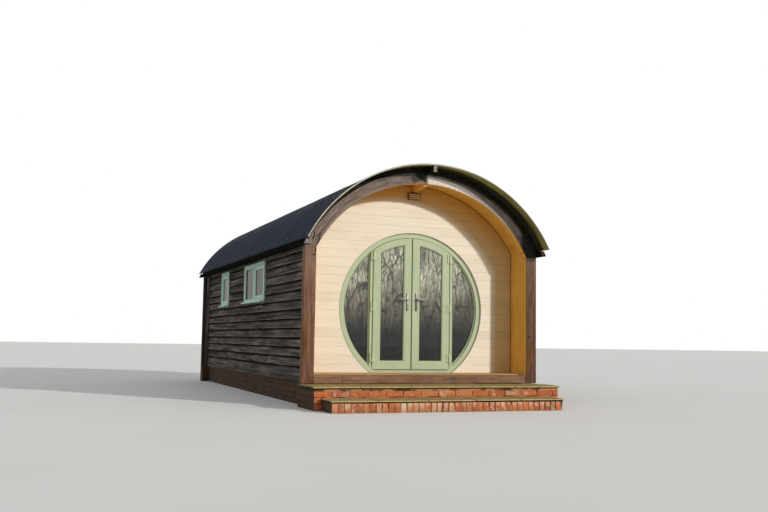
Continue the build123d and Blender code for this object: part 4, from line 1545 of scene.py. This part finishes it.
def feather_board(piece, face, z_foot, z0, z1, y0, y1, tone, seed):
    """A tapered, rough-sawn board on the right side wall, or its part from z0 to z1."""
    steps = max(1, round((y1 - y0) / BOARD_STEP))
    rings, rises = [], []
    for y in np.linspace(y0, y1, steps + 1):
        wave = [noise.noise(Vector((y * 2.6, seed * 3.7, k))) for k in range(2)]
        foot = z0 + (FOOT_WAVES * wave[0] if z0 == z_foot else 0)
        swell = BOARD_WAVES * wave[1]

        def surface(z):
            return face - BOARD_WAVES + swell - BOARD_TAPER * (z - z_foot) / BOARD_PITCH
        rings.append([(face - BOARD_BUTT, y, foot), (surface(foot) - BOARD_EDGE, y, foot),
                      (surface(foot), y, foot + BOARD_EDGE), (surface(z1), y, z1),
                      (face - BOARD_BUTT, y, z1)])
        rises += [(z - z_foot) / BOARD_PITCH for _, _, z in rings[-1]]
    loft(piece, rings, turned(np.concatenate(rings), 1), tone, rise=rises)


def side_boards(piece):
    """Courses of boards up the right wall, cut round the windows."""
    start, end = FRAME_BACK, REAR_FRAME
    face = -low("cladding_left").x - CORNER_BOARD
    top = ARCH_CENTRE + half_chord(ARCH_OUTER, face) - 0.002
    z_foot = BOARDS_FOOT
    z_top = BOARDS_FOOT + FIRST_COURSE
    course = 0
    while z_foot < top - 0.01:
        joints = [start + 1.9 + (course * 1.37) % 2.6, start + 4.6 + (course * 0.91) % 1.5]
        windows_here = []
        if z_foot < WINDOW_HEAD and z_top > WINDOW_FOOT:
            windows_here = list(zip(WINDOW_CENTRES, WINDOW_WIDTHS))
        window_edges = [c + side * w / 2 for c, w in windows_here for side in (-1, 1)]
        cuts = sorted([start, end] + joints + window_edges)
        tone = draw.random()
        for a, b in zip(cuts, cuts[1:]):
            if a in joints:
                tone = draw.random()
            inside = any(abs((a + b) / 2 - c) < w / 2 for c, w in windows_here)
            spans = [(z_foot, z_top)]
            if inside:
                spans = [(z_foot, min(z_top, WINDOW_FOOT)), (max(z_foot, WINDOW_HEAD), z_top)]
            near = a + (BOARD_JOINT if a in joints else 0)
            far = b - (BOARD_JOINT if b in joints else 0)
            for z0, z1 in spans:
                if z1 - z0 > 0.004:
                    feather_board(piece, face, z_foot, z0, z1, near, far, tone, course)
        z_foot, z_top = z_top, min(z_top + BOARD_PITCH, top)
        course += 1
    for y in (FRAME_BACK, REAR_FRAME - CORNER_BOARD):
        bar(piece, (face, y, BASE_TOP),
            (face + CORNER_BOARD, y + CORNER_BOARD, EAVES_FOOT - 0.0003), 2, BOARD_EDGE)


def rear_boards(piece):
    """Courses of the same boards over the rear wall, between the posts."""
    face = REAR_FRAME
    z_foot = FLOOR_TOP
    while z_foot < WALL_TOP - 0.01:
        z1 = min(z_foot + BOARD_PITCH, WALL_TOP)
        heights = np.linspace(z_foot, z1, 7)
        rings, rises = [], []
        for z in heights:
            half = outer_edge(z)
            surface = face - BOARD_TAPER * (z - z_foot) / BOARD_PITCH
            rings.append([(-half, face - BOARD_BUTT, z), (half, face - BOARD_BUTT, z),
                          (half, surface, z), (-half, surface, z)])
            rises += [(z - z_foot) / BOARD_PITCH] * 4
        loft(piece, rings, rise=rises)
        z_foot += BOARD_PITCH


sides = Piece()
side_boards(sides)
sides.mirror()
sides.finish("side_boards", DARK_BOARDS, "dark_boards",
             replaces=("cladding_left", "cladding_right"))
rear = Piece()
rear_boards(rear)
rear.finish("rear_boards", DARK_BOARDS, "dark_boards", replaces=("rear_wall",))


# Round doorset

def circle_part(radius, foot, steps=72):
    """Points of the door's circle above a height, from right to left."""
    start = foot_angle(radius, foot, DOOR_CENTRE)
    return arc(radius, start, math.pi - start, steps, DOOR_CENTRE)


def ring_profile(piece, profile, foot):
    """A moulding bent round the door: (radius, depth) pairs, cut level at its foot."""
    rings = [place(circle_part(radius, foot), "xz", depth) for radius, depth in profile]
    stacked = np.array(rings).transpose(1, 0, 2)
    grain = []
    for ring in stacked:
        for x, y, z in ring:
            angle = math.atan2(z - DOOR_CENTRE, x)
            grain.append((angle * DOOR_RADIUS, math.hypot(x, z - DOOR_CENTRE), y))
    loft(piece, list(stacked), grain)


RING_EDGE = 0.0015
STOP_FACE = DOOR_BACK - STOP_DEPTH
door_frame = Piece()
ring_profile(door_frame, [
    (DOOR_RADIUS, DOOR_BACK), (DOOR_RADIUS, DOOR_FACE + RING_EDGE),
    (DOOR_RADIUS - RING_EDGE, DOOR_FACE), (RING_INNER + RING_EDGE, DOOR_FACE),
    (RING_INNER, DOOR_FACE + RING_EDGE), (RING_INNER, STOP_FACE),
    (RING_INNER - STOP_WIDTH, STOP_FACE), (RING_INNER - STOP_WIDTH, DOOR_BACK)], FLOOR_TOP)
sill_half = half_chord(RING_INNER, THRESHOLD_TOP - DOOR_CENTRE)
threshold = [(DOOR_FACE + 0.001, FLOOR_TOP), (DOOR_BACK, FLOOR_TOP),
             (DOOR_BACK, THRESHOLD_TOP + STOP_WIDTH), (STOP_FACE, THRESHOLD_TOP + STOP_WIDTH),
             (STOP_FACE, THRESHOLD_TOP), (DOOR_FACE + 0.012, THRESHOLD_TOP - 0.002),
             (DOOR_FACE + 0.001, THRESHOLD_TOP - 0.008)]
plate(door_frame, threshold, "yz", -sill_half, sill_half, 0.001, 1)
door_frame.finish("door_ring", SAGE, "sage_paint", replaces=("door_frame",))


def mullion_outline(x0, x1):
    """A mullion from the threshold, or the foot of the ring, up to the ring's head."""
    half = {x: half_chord(RING_INNER, x) for x in np.linspace(x0, x1, 6)}
    foot = [(x, max(THRESHOLD_TOP, DOOR_CENTRE - h)) for x, h in half.items()]
    return foot + [(x, DOOR_CENTRE + h) for x, h in reversed(half.items())]


mullions = Piece()
plate(mullions, mullion_outline(MULLION_INNER, MULLION_OUTER), "xz", DOOR_FACE, DOOR_BACK,
      0.0025, 2)
plate(mullions, mullion_outline(MULLION_INNER - STOP_WIDTH, MULLION_INNER + 0.004), "xz",
      STOP_FACE, DOOR_BACK, 0.001, 2)
mullions.mirror()
mullions.finish("mullion_timbers", SAGE, "sage_paint", replaces=("door_mullions",))


def pane_loop(x0, x1, foot, radius):
    """A pane of the round doorset: foot, outer side, curved head and inner side. The outer
    side follows the circle wherever the circle comes first."""
    lowest = foot_angle(radius, foot, DOOR_CENTRE)
    corner = math.acos(min(x1 / radius, 1.0))
    low_arc = arc(radius, lowest, max(lowest, -corner), 12, DOOR_CENTRE)
    low_arc[:, 0] = np.minimum(low_arc[:, 0], x1)
    head = arc(radius, corner, math.acos(x0 / radius), 28, DOOR_CENTRE)
    foot_line = [(x, foot) for x in np.linspace(x0, low_arc[0][0], 5)[:-1]]
    side = [(low_arc[-1][0], z) for z in np.linspace(low_arc[-1][1], head[0][1], 7)[1:-1]]
    inner = [(x0, z) for z in np.linspace(head[-1][1], foot, 13)[1:-1]]
    return np.array(foot_line + list(low_arc) + side + list(head) + inner)


BEAD = 0.020


def sidelight_loop(inside):
    return pane_loop(MULLION_OUTER + inside, RING_INNER, THRESHOLD_TOP + inside,
                     RING_INNER - inside)


beads = Piece()
pane_front = low("sidelight_glass").y
bead_front = low("sidelight_beads").y
hoop(beads, [(sidelight_loop(inside), depth) for inside, depth in (
    (0.0004, pane_front), (0.0004, bead_front), (0.006, bead_front),
    (0.012, bead_front + 0.004), (BEAD - 0.001, bead_front + 0.011), (BEAD, pane_front))],
     "xz", 2)
beads.mirror()
beads.finish("sidelight_bead_mouldings", SAGE, "sage_paint", replaces=("sidelight_beads",))
seals_and_shade_strips = Piece()
seal_strip(seals_and_shade_strips, sidelight_loop, BEAD - 0.002, BEAD + 0.003, pane_front - 0.0005,
           pane_front - 0.003, "xz", 2)
seal_head = DOOR_CENTRE + half_chord(RING_INNER, MULLION_INNER) - 0.012
# A dark strip on each mullion's edge by the leaf: painted shadow of the leaf's edge.
bar(seals_and_shade_strips, (MULLION_INNER, DOOR_FACE - 0.0008, THRESHOLD_TOP + 0.045),
    (MULLION_INNER + 0.006, DOOR_FACE + 0.002, seal_head), 2, 0.0003)
seals_and_shade_strips.mirror()
seals_and_shade_strips.finish("doorset_seals_and_shade_strips", GASKET, "sage_paint")


# Door leaves and their fittings, made for the right leaf

STILE_INNER = GLASS_INNER + GLASS_EDGE
STILE_OUTER = GLASS_OUTER - GLASS_EDGE
RAIL_TOP = low("door_glass_right").z + GLASS_EDGE
LEAF_HEAD = RING_INNER - LEAF_GAP
LIGHT_HEAD = LEAF_HEAD - 0.095


def leaf_loop(inside):
    return pane_loop(LEAF_INNER + inside, LEAF_OUTER - inside, LEAF_FOOT + inside,
                     LEAF_HEAD - inside)


def light_loop(outside):
    return pane_loop(STILE_INNER - outside, STILE_OUTER + outside, RAIL_TOP - outside,
                     LIGHT_HEAD + outside)


PIVOT_X = LEAF_OUTER + LEAF_GAP / 2
PIVOT_Y = LEAF_FACE - 0.014


def bevelled_back(loop):
    """The meeting edge set back at the leaf's inner face, so that it swings clear."""
    reach = math.hypot(PIVOT_X - LEAF_INNER, LEAF_FACE - PIVOT_Y)
    back = PIVOT_X - half_chord(reach, LEAF_BACK - PIVOT_Y)
    moved = np.array(loop)
    moved[:, 0] = np.maximum(moved[:, 0], back)
    return moved


def leaf_timbers(piece):
    """Stiles and rails in one ring, with beads that hold the glass on both sides."""
    beads = [(0.016, LEAF_FACE), (0.014, LEAF_FACE + 0.003), (0.010, LEAF_FACE + 0.0035),
             (0.002, LEAF_FACE + 0.010), (0.0, GLASS_FRONT), (0.0, GLASS_BACK),
             (0.002, LEAF_BACK - 0.010), (0.014, LEAF_BACK - 0.0035), (0.016, LEAF_BACK)]
    profile = [(bevelled_back(leaf_loop(0)), LEAF_BACK - 0.002),
               (leaf_loop(0), LEAF_FACE + 0.0015), (leaf_loop(0.0015), LEAF_FACE),
               *((light_loop(outside), depth) for outside, depth in beads),
               (bevelled_back(leaf_loop(0.002)), LEAF_BACK)]
    hoop(piece, profile, "xz", 2)


def leaf_gaskets_and_shade_strip(piece):
    """Strips at both faces of the pane, and along the meeting edge a dark strip that is painted
    shade of the gap.
    """
    for near, far in ((GLASS_FRONT - 0.004, GLASS_FRONT), (GLASS_BACK, GLASS_BACK + 0.004)):
        seal_strip(piece, light_loop, 0.0002, -0.004, near, far, "xz", 2)
    bar(piece, (LEAF_INNER + 0.0005, LEAF_FACE - 0.001, LEAF_FOOT + 0.004),
        (LEAF_INNER + 0.0045, LEAF_FACE + 0.001, DOOR_CENTRE + LEAF_HEAD - 0.006), 2, 0.0003)


PLATE_X = (low("handle_plates_right").x + high("handle_plates_right").x) / 2
PLATE_LOW = low("handle_plates_right").z
PLATE_HIGH = high("handle_plates_right").z
PLATE_HALF = high("handle_plates_right").x - PLATE_X
PLATE_THICKNESS = 0.009
LEVER_HEIGHT = (low("door_lever_right").z + high("door_lever_right").z) / 2
LEVER_REACH = high("door_lever_right").x
LEVER_PROUD = 0.048


def rounded(x0, x1, z0, z1, radius, steps=6):
    corners = ((x1 - radius, z0 + radius, -90), (x1 - radius, z1 - radius, 0),
               (x0 + radius, z1 - radius, 90), (x0 + radius, z0 + radius, 180))
    loop = []
    for cx, cz, start in corners:
        for k in range(steps + 1):
            angle = math.radians(start + 90 * k / steps)
            loop.append((cx + radius * math.cos(angle), cz + radius * math.sin(angle)))
    return np.array(loop)


KEYHOLE_DROP = 0.072
PLATE_CORNER = 0.010
SCREW_INSET = 0.014


def back_plate(piece, dark, surface, outward):
    """Long plate with rounded corners, two screws and a lock cylinder."""
    face = surface + outward * PLATE_THICKNESS
    loop = rounded(PLATE_X - PLATE_HALF, PLATE_X + PLATE_HALF, PLATE_LOW, PLATE_HIGH,
                   PLATE_CORNER)
    rings = [place(loop, "xz", surface), place(loop, "xz", face - outward * 0.003),
             place(inset(loop, 0.001), "xz", face - outward * 0.001),
             place(inset(loop, 0.003), "xz", face)]
    loft(piece, rings)
    for z in (PLATE_LOW + SCREW_INSET, PLATE_HIGH - SCREW_INSET):
        lathe(piece, [(0, 0.0045), (outward * 0.001, 0.0042), (outward * 0.0016, 0.003)],
              (PLATE_X, face, z), 1, 14)
    key_z = LEVER_HEIGHT - KEYHOLE_DROP
    lathe(piece, [(0, 0.0088), (outward * 0.0022, 0.0088), (outward * 0.003, 0.008)],
          (PLATE_X, face, key_z), 1, 20)
    slot = rounded(PLATE_X - 0.0012, PLATE_X + 0.0012, key_z - 0.005, key_z + 0.005, 0.001, 2)
    near, far = sorted((face + outward * 0.0028, face + outward * 0.0034))
    plate(dark, slot, "xz", near, far, 0.0001, 2)


LEVER_BEND = 0.015
LEVER_DEPTH = 0.0115
LEVER_HALF = 0.009
LEVER_TAPER = 0.0018


def lever_bar(piece, surface, outward):
    """Rose, neck and flat lever that bends away from the meeting edge."""
    seat = surface + outward * (PLATE_THICKNESS + 0.0005)
    lathe(piece, [(0, 0.0116), (outward * 0.0035, 0.0118), (outward * 0.006, 0.0105),
                  (outward * 0.0075, 0.0085), (outward * 0.030, 0.0075)],
          (PLATE_X, seat, LEVER_HEIGHT), 1, 24)
    outer = surface + outward * LEVER_PROUD
    path = []
    for angle in np.linspace(0, math.pi / 2, 9):
        path.append((PLATE_X - 0.0055 + LEVER_BEND * (1 - math.cos(angle)),
                     outer - outward * LEVER_BEND * (1 - math.sin(angle))))
    path += [(x, outer) for x in np.linspace(PLATE_X + 0.03, LEVER_REACH - 0.004, 6)]
    path.append((LEVER_REACH - 0.0008, outer - outward * 0.0015))
    lower = []
    for k, (x, y) in enumerate(path):
        ahead = path[min(k + 1, len(path) - 1)]
        behind = path[max(k - 1, 0)]
        tx, ty = ahead[0] - behind[0], ahead[1] - behind[1]
        inwards = outward * LEVER_DEPTH / math.hypot(tx, ty)
        lower.append((x + ty * inwards, y - tx * inwards))
    rings = []
    for (x, y), (xi, yi) in zip(path, lower):
        along = max(0.0, (x - PLATE_X) / (LEVER_REACH - PLATE_X))
        half = LEVER_HALF - LEVER_TAPER * along**2
        rings.append([(x + (xi - x) * u, y + (yi - y) * u, LEVER_HEIGHT + v * half)
                      for u, v in rounded(0, 1, -1, 1, 0.28, 3)])
    loft(piece, rings)


HINGE_HALF = 0.057
HINGE_FLAG = 0.034
KNUCKLE = 0.008
KNUCKLE_CROWN = 0.0025
FLAG_THICKNESS = 0.009
CAP_PITCH = 0.038
LOWEST_HINGE = low("frame_hinges").z + HINGE_HALF
HIGHEST_HINGE = high("frame_hinges").z - HINGE_HALF
HINGE_CENTRES = (LOWEST_HINGE, (LOWEST_HINGE + HIGHEST_HINGE) / 2, HIGHEST_HINGE)


def hinge_half(piece, centre, moving):
    """Barrel and flag of one half of a hinge, with screw caps on the flag."""
    if moving:
        z0, z1, side, surface = centre + 0.0003, centre + HINGE_HALF, -1, LEAF_FACE
    else:
        z0, z1, side, surface = centre - HINGE_HALF, centre - 0.0003, 1, DOOR_FACE
    crown = KNUCKLE_CROWN
    barrel = [(z0, KNUCKLE - 0.0006), (z0 + 0.0006, KNUCKLE), (z1 - crown, KNUCKLE),
              (z1 - crown * 0.3, KNUCKLE - 0.001), (z1, KNUCKLE - 0.003)]
    if not moving:
        barrel = [(z0, KNUCKLE - 0.003), (z0 + crown * 0.7, KNUCKLE - 0.001),
                  (z0 + crown, KNUCKLE), (z1 - 0.0006, KNUCKLE), (z1, KNUCKLE - 0.0006)]
    lathe(piece, barrel, (PIVOT_X, PIVOT_Y, 0), 2, 24)
    near, far = sorted((PIVOT_X + side * 0.0025, PIVOT_X + side * 0.011))
    bar(piece, (near, PIVOT_Y, z0 + 0.0005), (far, surface, z1 - 0.0005), 2, 0.0008)
    near, far = sorted((PIVOT_X + side * 0.010, PIVOT_X + side * HINGE_FLAG))
    loop = rounded(near, far, centre - HINGE_HALF, centre + HINGE_HALF, 0.004, 4)
    plate(piece, loop, "xz", surface - FLAG_THICKNESS, surface, 0.0015, 2)
    for z in (centre - CAP_PITCH, centre, centre + CAP_PITCH):
        lathe(piece, [(0, 0.0052), (-0.0008, 0.005), (-0.0012, 0.004)],
              ((near + far) / 2, surface - FLAG_THICKNESS, z), 1, 14)


for side in ("right", "left"):
    door = "door_" + side
    timbers, seals, plates, slots, levers, hinges = [Piece() for _ in range(6)]
    leaf_timbers(timbers)
    leaf_gaskets_and_shade_strip(seals)
    for surface, outward in ((LEAF_FACE, -1), (LEAF_BACK, 1)):
        back_plate(plates, slots, surface, outward)
        lever_bar(levers, surface, outward)
    for centre in HINGE_CENTRES:
        hinge_half(hinges, centre, True)
    for piece, name, material, slot, body, solids, sharp in (
            (timbers, "leaf_timbers_", SAGE, "sage_paint", door, ["door_leaf_"], 30),
            (seals, "leaf_gaskets_and_shade_strip_", GASKET, "sage_paint", door, [], 30),
            (plates, "lever_plates_", DARK_METAL, "handle_metal", door, ["handle_plates_"], 30),
            (slots, "key_slots_", GASKET, "handle_metal", door, [], 30),
            (levers, "lever_handle_", DARK_METAL, "handle_metal", "lever_" + side,
             ["door_lever_"], 40),
            (hinges, "hinge_leaf_halves_", HINGE, "hinge_metal", door, ["leaf_hinges_"], 30)):
        if side == "left":
            piece.flip()
        piece.finish(name + side, material, slot, body, [solid + side for solid in solids], sharp)

# Dark pads behind the frame's hinge flags: painted shadow of the hinges.
PAD_RIM = 0.003
hinges, shadow_pads = Piece(), Piece()
for centre in HINGE_CENTRES:
    hinge_half(hinges, centre, False)
    foot, head = centre - HINGE_HALF - PAD_RIM, centre + HINGE_HALF + PAD_RIM
    bar(shadow_pads, (PIVOT_X + 0.014, DOOR_FACE - 0.0012, foot),
        (PIVOT_X + HINGE_FLAG + 0.005, DOOR_FACE + 0.001, head), 2, 0.0004)
hinges.mirror()
hinges.finish("hinge_frame_halves", HINGE, "hinge_metal", replaces=("frame_hinges",))
shadow_pads.mirror()
shadow_pads.finish("hinge_shadow_pads", GASKET, "hinge_metal")


# Side windows

def window_outline(y0, y1, inside):
    return rectangle(y0 + inside, y1 - inside, WINDOW_FOOT + inside, WINDOW_HEAD - inside)


def light_outline(light, inside):
    return rectangle(light[0] + inside, light[1] - inside, WINDOW_FOOT + WINDOW_RAIL + inside,
                     WINDOW_HEAD - WINDOW_RAIL - inside)


def square_frame(piece, outline, outer, inner, front, back, round_edge=0.003):
    """A frame of rails and stiles about an opening, with softened edges."""
    hoop(piece, [(outline(outer), back), (outline(outer), front - round_edge),
                 (outline(outer + round_edge), front), (outline(inner - round_edge), front),
                 (outline(inner), front - round_edge), (outline(inner), back)], "yz", 1)


SILL_SECTION = ((-0.001, 0.0003), (0.036, 0.0003), (0.045, 0.004), (0.045, 0.018),
                (0.040, 0.021), (-0.001, 0.028))
SASH_INNER = SASH_GAP + SASH_RAIL
SASH_BEAD = 0.010
FIXED_BEAD = 0.014


def windows():
    """Frames, a casement and a fixed light in each wide window, seals and sills."""
    timbers = Piece()
    seals = Piece()
    middle = (WINDOW_OUTER + WINDOW_INNER) / 2
    for centre, width in zip(WINDOW_CENTRES, WINDOW_WIDTHS):
        y0, y1 = centre - width / 2, centre + width / 2
        square_frame(timbers, lambda d: window_outline(y0, y1, d), 0.0003, WINDOW_RAIL,
                     WINDOW_OUTER, WINDOW_INNER)
        lights = [(y0 + WINDOW_RAIL, y1 - WINDOW_RAIL)]
        if width > TWO_LIGHT_WIDTH:
            lights = [(y0 + WINDOW_RAIL, centre - WINDOW_RAIL / 2),
                      (centre + WINDOW_RAIL / 2, y1 - WINDOW_RAIL)]
            bar(timbers, (WINDOW_INNER, centre - WINDOW_RAIL / 2, WINDOW_FOOT + WINDOW_RAIL),
                (WINDOW_OUTER, centre + WINDOW_RAIL / 2, WINDOW_HEAD - WINDOW_RAIL), 2, 0.003)
        casement, *fixed = lights
        for outer, inner, front, back, round_edge in (
                (SASH_GAP, SASH_INNER, SASH_FRONT, SASH_BACK, 0.004),
                (0.0, 0.015, SASH_BACK, WINDOW_INNER, 0.001),
                (SASH_INNER, SASH_INNER + SASH_BEAD, middle + 0.019, middle + 0.012, 0.002)):
            square_frame(timbers, lambda d: light_outline(casement, d), outer, inner, front,
                         back, round_edge)
        panes = [(casement, SASH_INNER + SASH_BEAD)]
        for light in fixed:
            square_frame(timbers, lambda d: light_outline(light, d), 0.0, FIXED_BEAD,
                         WINDOW_OUTER - 0.010, middle + 0.012, 0.004)
            panes.append((light, FIXED_BEAD))
        for light, inside in panes:
            seal_strip(seals, lambda d: light_outline(light, d), inside - 0.001,
                       inside + 0.003, middle + 0.0125, middle + 0.016, "yz", 1)
        sill = [(WINDOW_OUTER + out, WINDOW_FOOT + up) for out, up in SILL_SECTION]
        plate(timbers, sill, "xz", y0 + 0.0003, y1 - 0.0003, 0.001, 1)
    timbers.mirror()
    seals.mirror()
    timbers.finish("window_timbers", WINDOW_GREEN, "window_paint",
                   replaces=("window_frames_left", "window_frames_right"))
    seals.finish("window_seals", GASKET, "window_paint")


windows()


# Slatted light over the door

LIGHT_RIM = 0.006
SLATS = 3


def porch_light():
    """A flat housing with a rim, and tilted slats across its opening."""
    a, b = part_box("porch_light")
    rim = LIGHT_RIM
    housing = Piece()

    def outline(inside):
        return rectangle(a.x + inside, b.x - inside, a.z + inside, b.z - inside)

    hoop(housing, [(outline(0), b.y), (outline(0), a.y + 0.003), (outline(0.003), a.y),
                   (outline(rim - 0.0015), a.y), (outline(rim), a.y + 0.0015),
                   (outline(rim), b.y - 0.006)], "xz", 0)
    bar(housing, (a.x + 0.004, b.y - 0.010, a.z + 0.004), (b.x - 0.004, b.y, b.z - 0.004), 0,
        0.001)
    housing.finish("slatted_light", BRONZE, "light_housing", replaces=("porch_light",))
    pitch = (b.z - a.z - 2 * rim) / SLATS
    louvres = Piece()
    for k in range(SLATS):
        z = a.z + rim + k * pitch
        tilt = [(a.y + 0.002, z + pitch * 0.52), (a.y + 0.004, z + pitch * 0.12),
                (a.y + 0.018, z + pitch * 0.30), (a.y + 0.018, z + pitch * 0.62)]
        plate(louvres, tilt, "yz", a.x + rim - 0.001, b.x - rim + 0.001, 0.0006, 0)
    louvres.finish("light_louvres", LOUVRE, "light_housing")


porch_light()
nails.finish("nail_heads", STEEL, "stained_timber")


# Camera at the photo's viewing angle, floor, backdrop and light

CAMERA_PLACE = (-4.6872, -13.8637, 0.8256)
CAMERA_YAW = math.radians(20.9558)
CAMERA_PITCH = math.radians(5.1526)
CAMERA_ROLL = math.radians(0.8849)
CAMERA_LENS = 43.383

camera_data = bpy.data.cameras.new("camera")
camera_data.lens = CAMERA_LENS
camera_data.sensor_width = 36
camera = shown("camera", camera_data)
camera.matrix_world = (Matrix.Translation(CAMERA_PLACE)
                       @ Matrix.Rotation(-CAMERA_YAW, 4, "Z")
                       @ Matrix.Rotation(math.pi / 2 + CAMERA_PITCH, 4, "X")
                       @ Matrix.Rotation(CAMERA_ROLL, 4, "Z"))
bpy.context.scene.camera = camera


def sun(name, direction, strength, softness, colour):
    """A lamp whose light travels in one direction, with soft shadows."""
    data = bpy.data.lights.new(name, "SUN")
    data.energy = strength
    data.angle = math.radians(softness)
    data.color = colour
    lamp = shown(name, data)
    lamp.rotation_mode = "QUATERNION"
    lamp.rotation_quaternion = Vector(direction).to_track_quat("-Z", "Y")


sun("key", (-0.307, 0.436, -0.194), 2.3, 2, (1.0, 0.95, 0.88))
sun("fill", (0.7, 0.45, -0.5), 0.15, 40, (0.92, 0.96, 1.0))

backdrop = bpy.data.worlds.new("backdrop")
sky = Nodes(backdrop)
rays = sky.tree.nodes.new("ShaderNodeLightPath").outputs
seen = sky.most(rays["Is Camera Ray"], rays["Is Glossy Ray"], rays["Is Transmission Ray"])
ambient = sky.tree.nodes["Background"]
sky.put(ambient.inputs["Color"], (0.93, 0.96, 1))
sky.put(ambient.inputs["Strength"], 0.45)
white = sky.node("Background", {"Color": (1, 1, 1)})
mixed = sky.node("MixShader", {0: seen, 1: ambient.outputs[0], 2: white})
sky.put(sky.tree.nodes["World Output"].inputs["Surface"], mixed)
bpy.context.scene.world = backdrop
bpy.context.scene.view_settings.view_transform = "Standard"

FLOOR_REACH = 90.0
floor_shader = Shader("studio_floor", Roughness=0.9)
cloudy = floor_shader.noise(floor_shader.place, 0.6, 3)
floor_shader.set("Base Color", floor_shader.ramp(cloudy, (0.3, (0.80, 0.79, 0.77)),
                                                 (0.7, (0.83, 0.82, 0.80))))
floor_mesh = bpy.data.meshes.new("studio_floor")
floor_corners = place(rectangle(-FLOOR_REACH, FLOOR_REACH, -FLOOR_REACH, FLOOR_REACH), "xy", 0)
floor_mesh.from_pydata(floor_corners.tolist(), [], [(0, 1, 2, 3)])
floor_mesh.materials.append(floor_shader.material)
shown("studio_floor", floor_mesh)
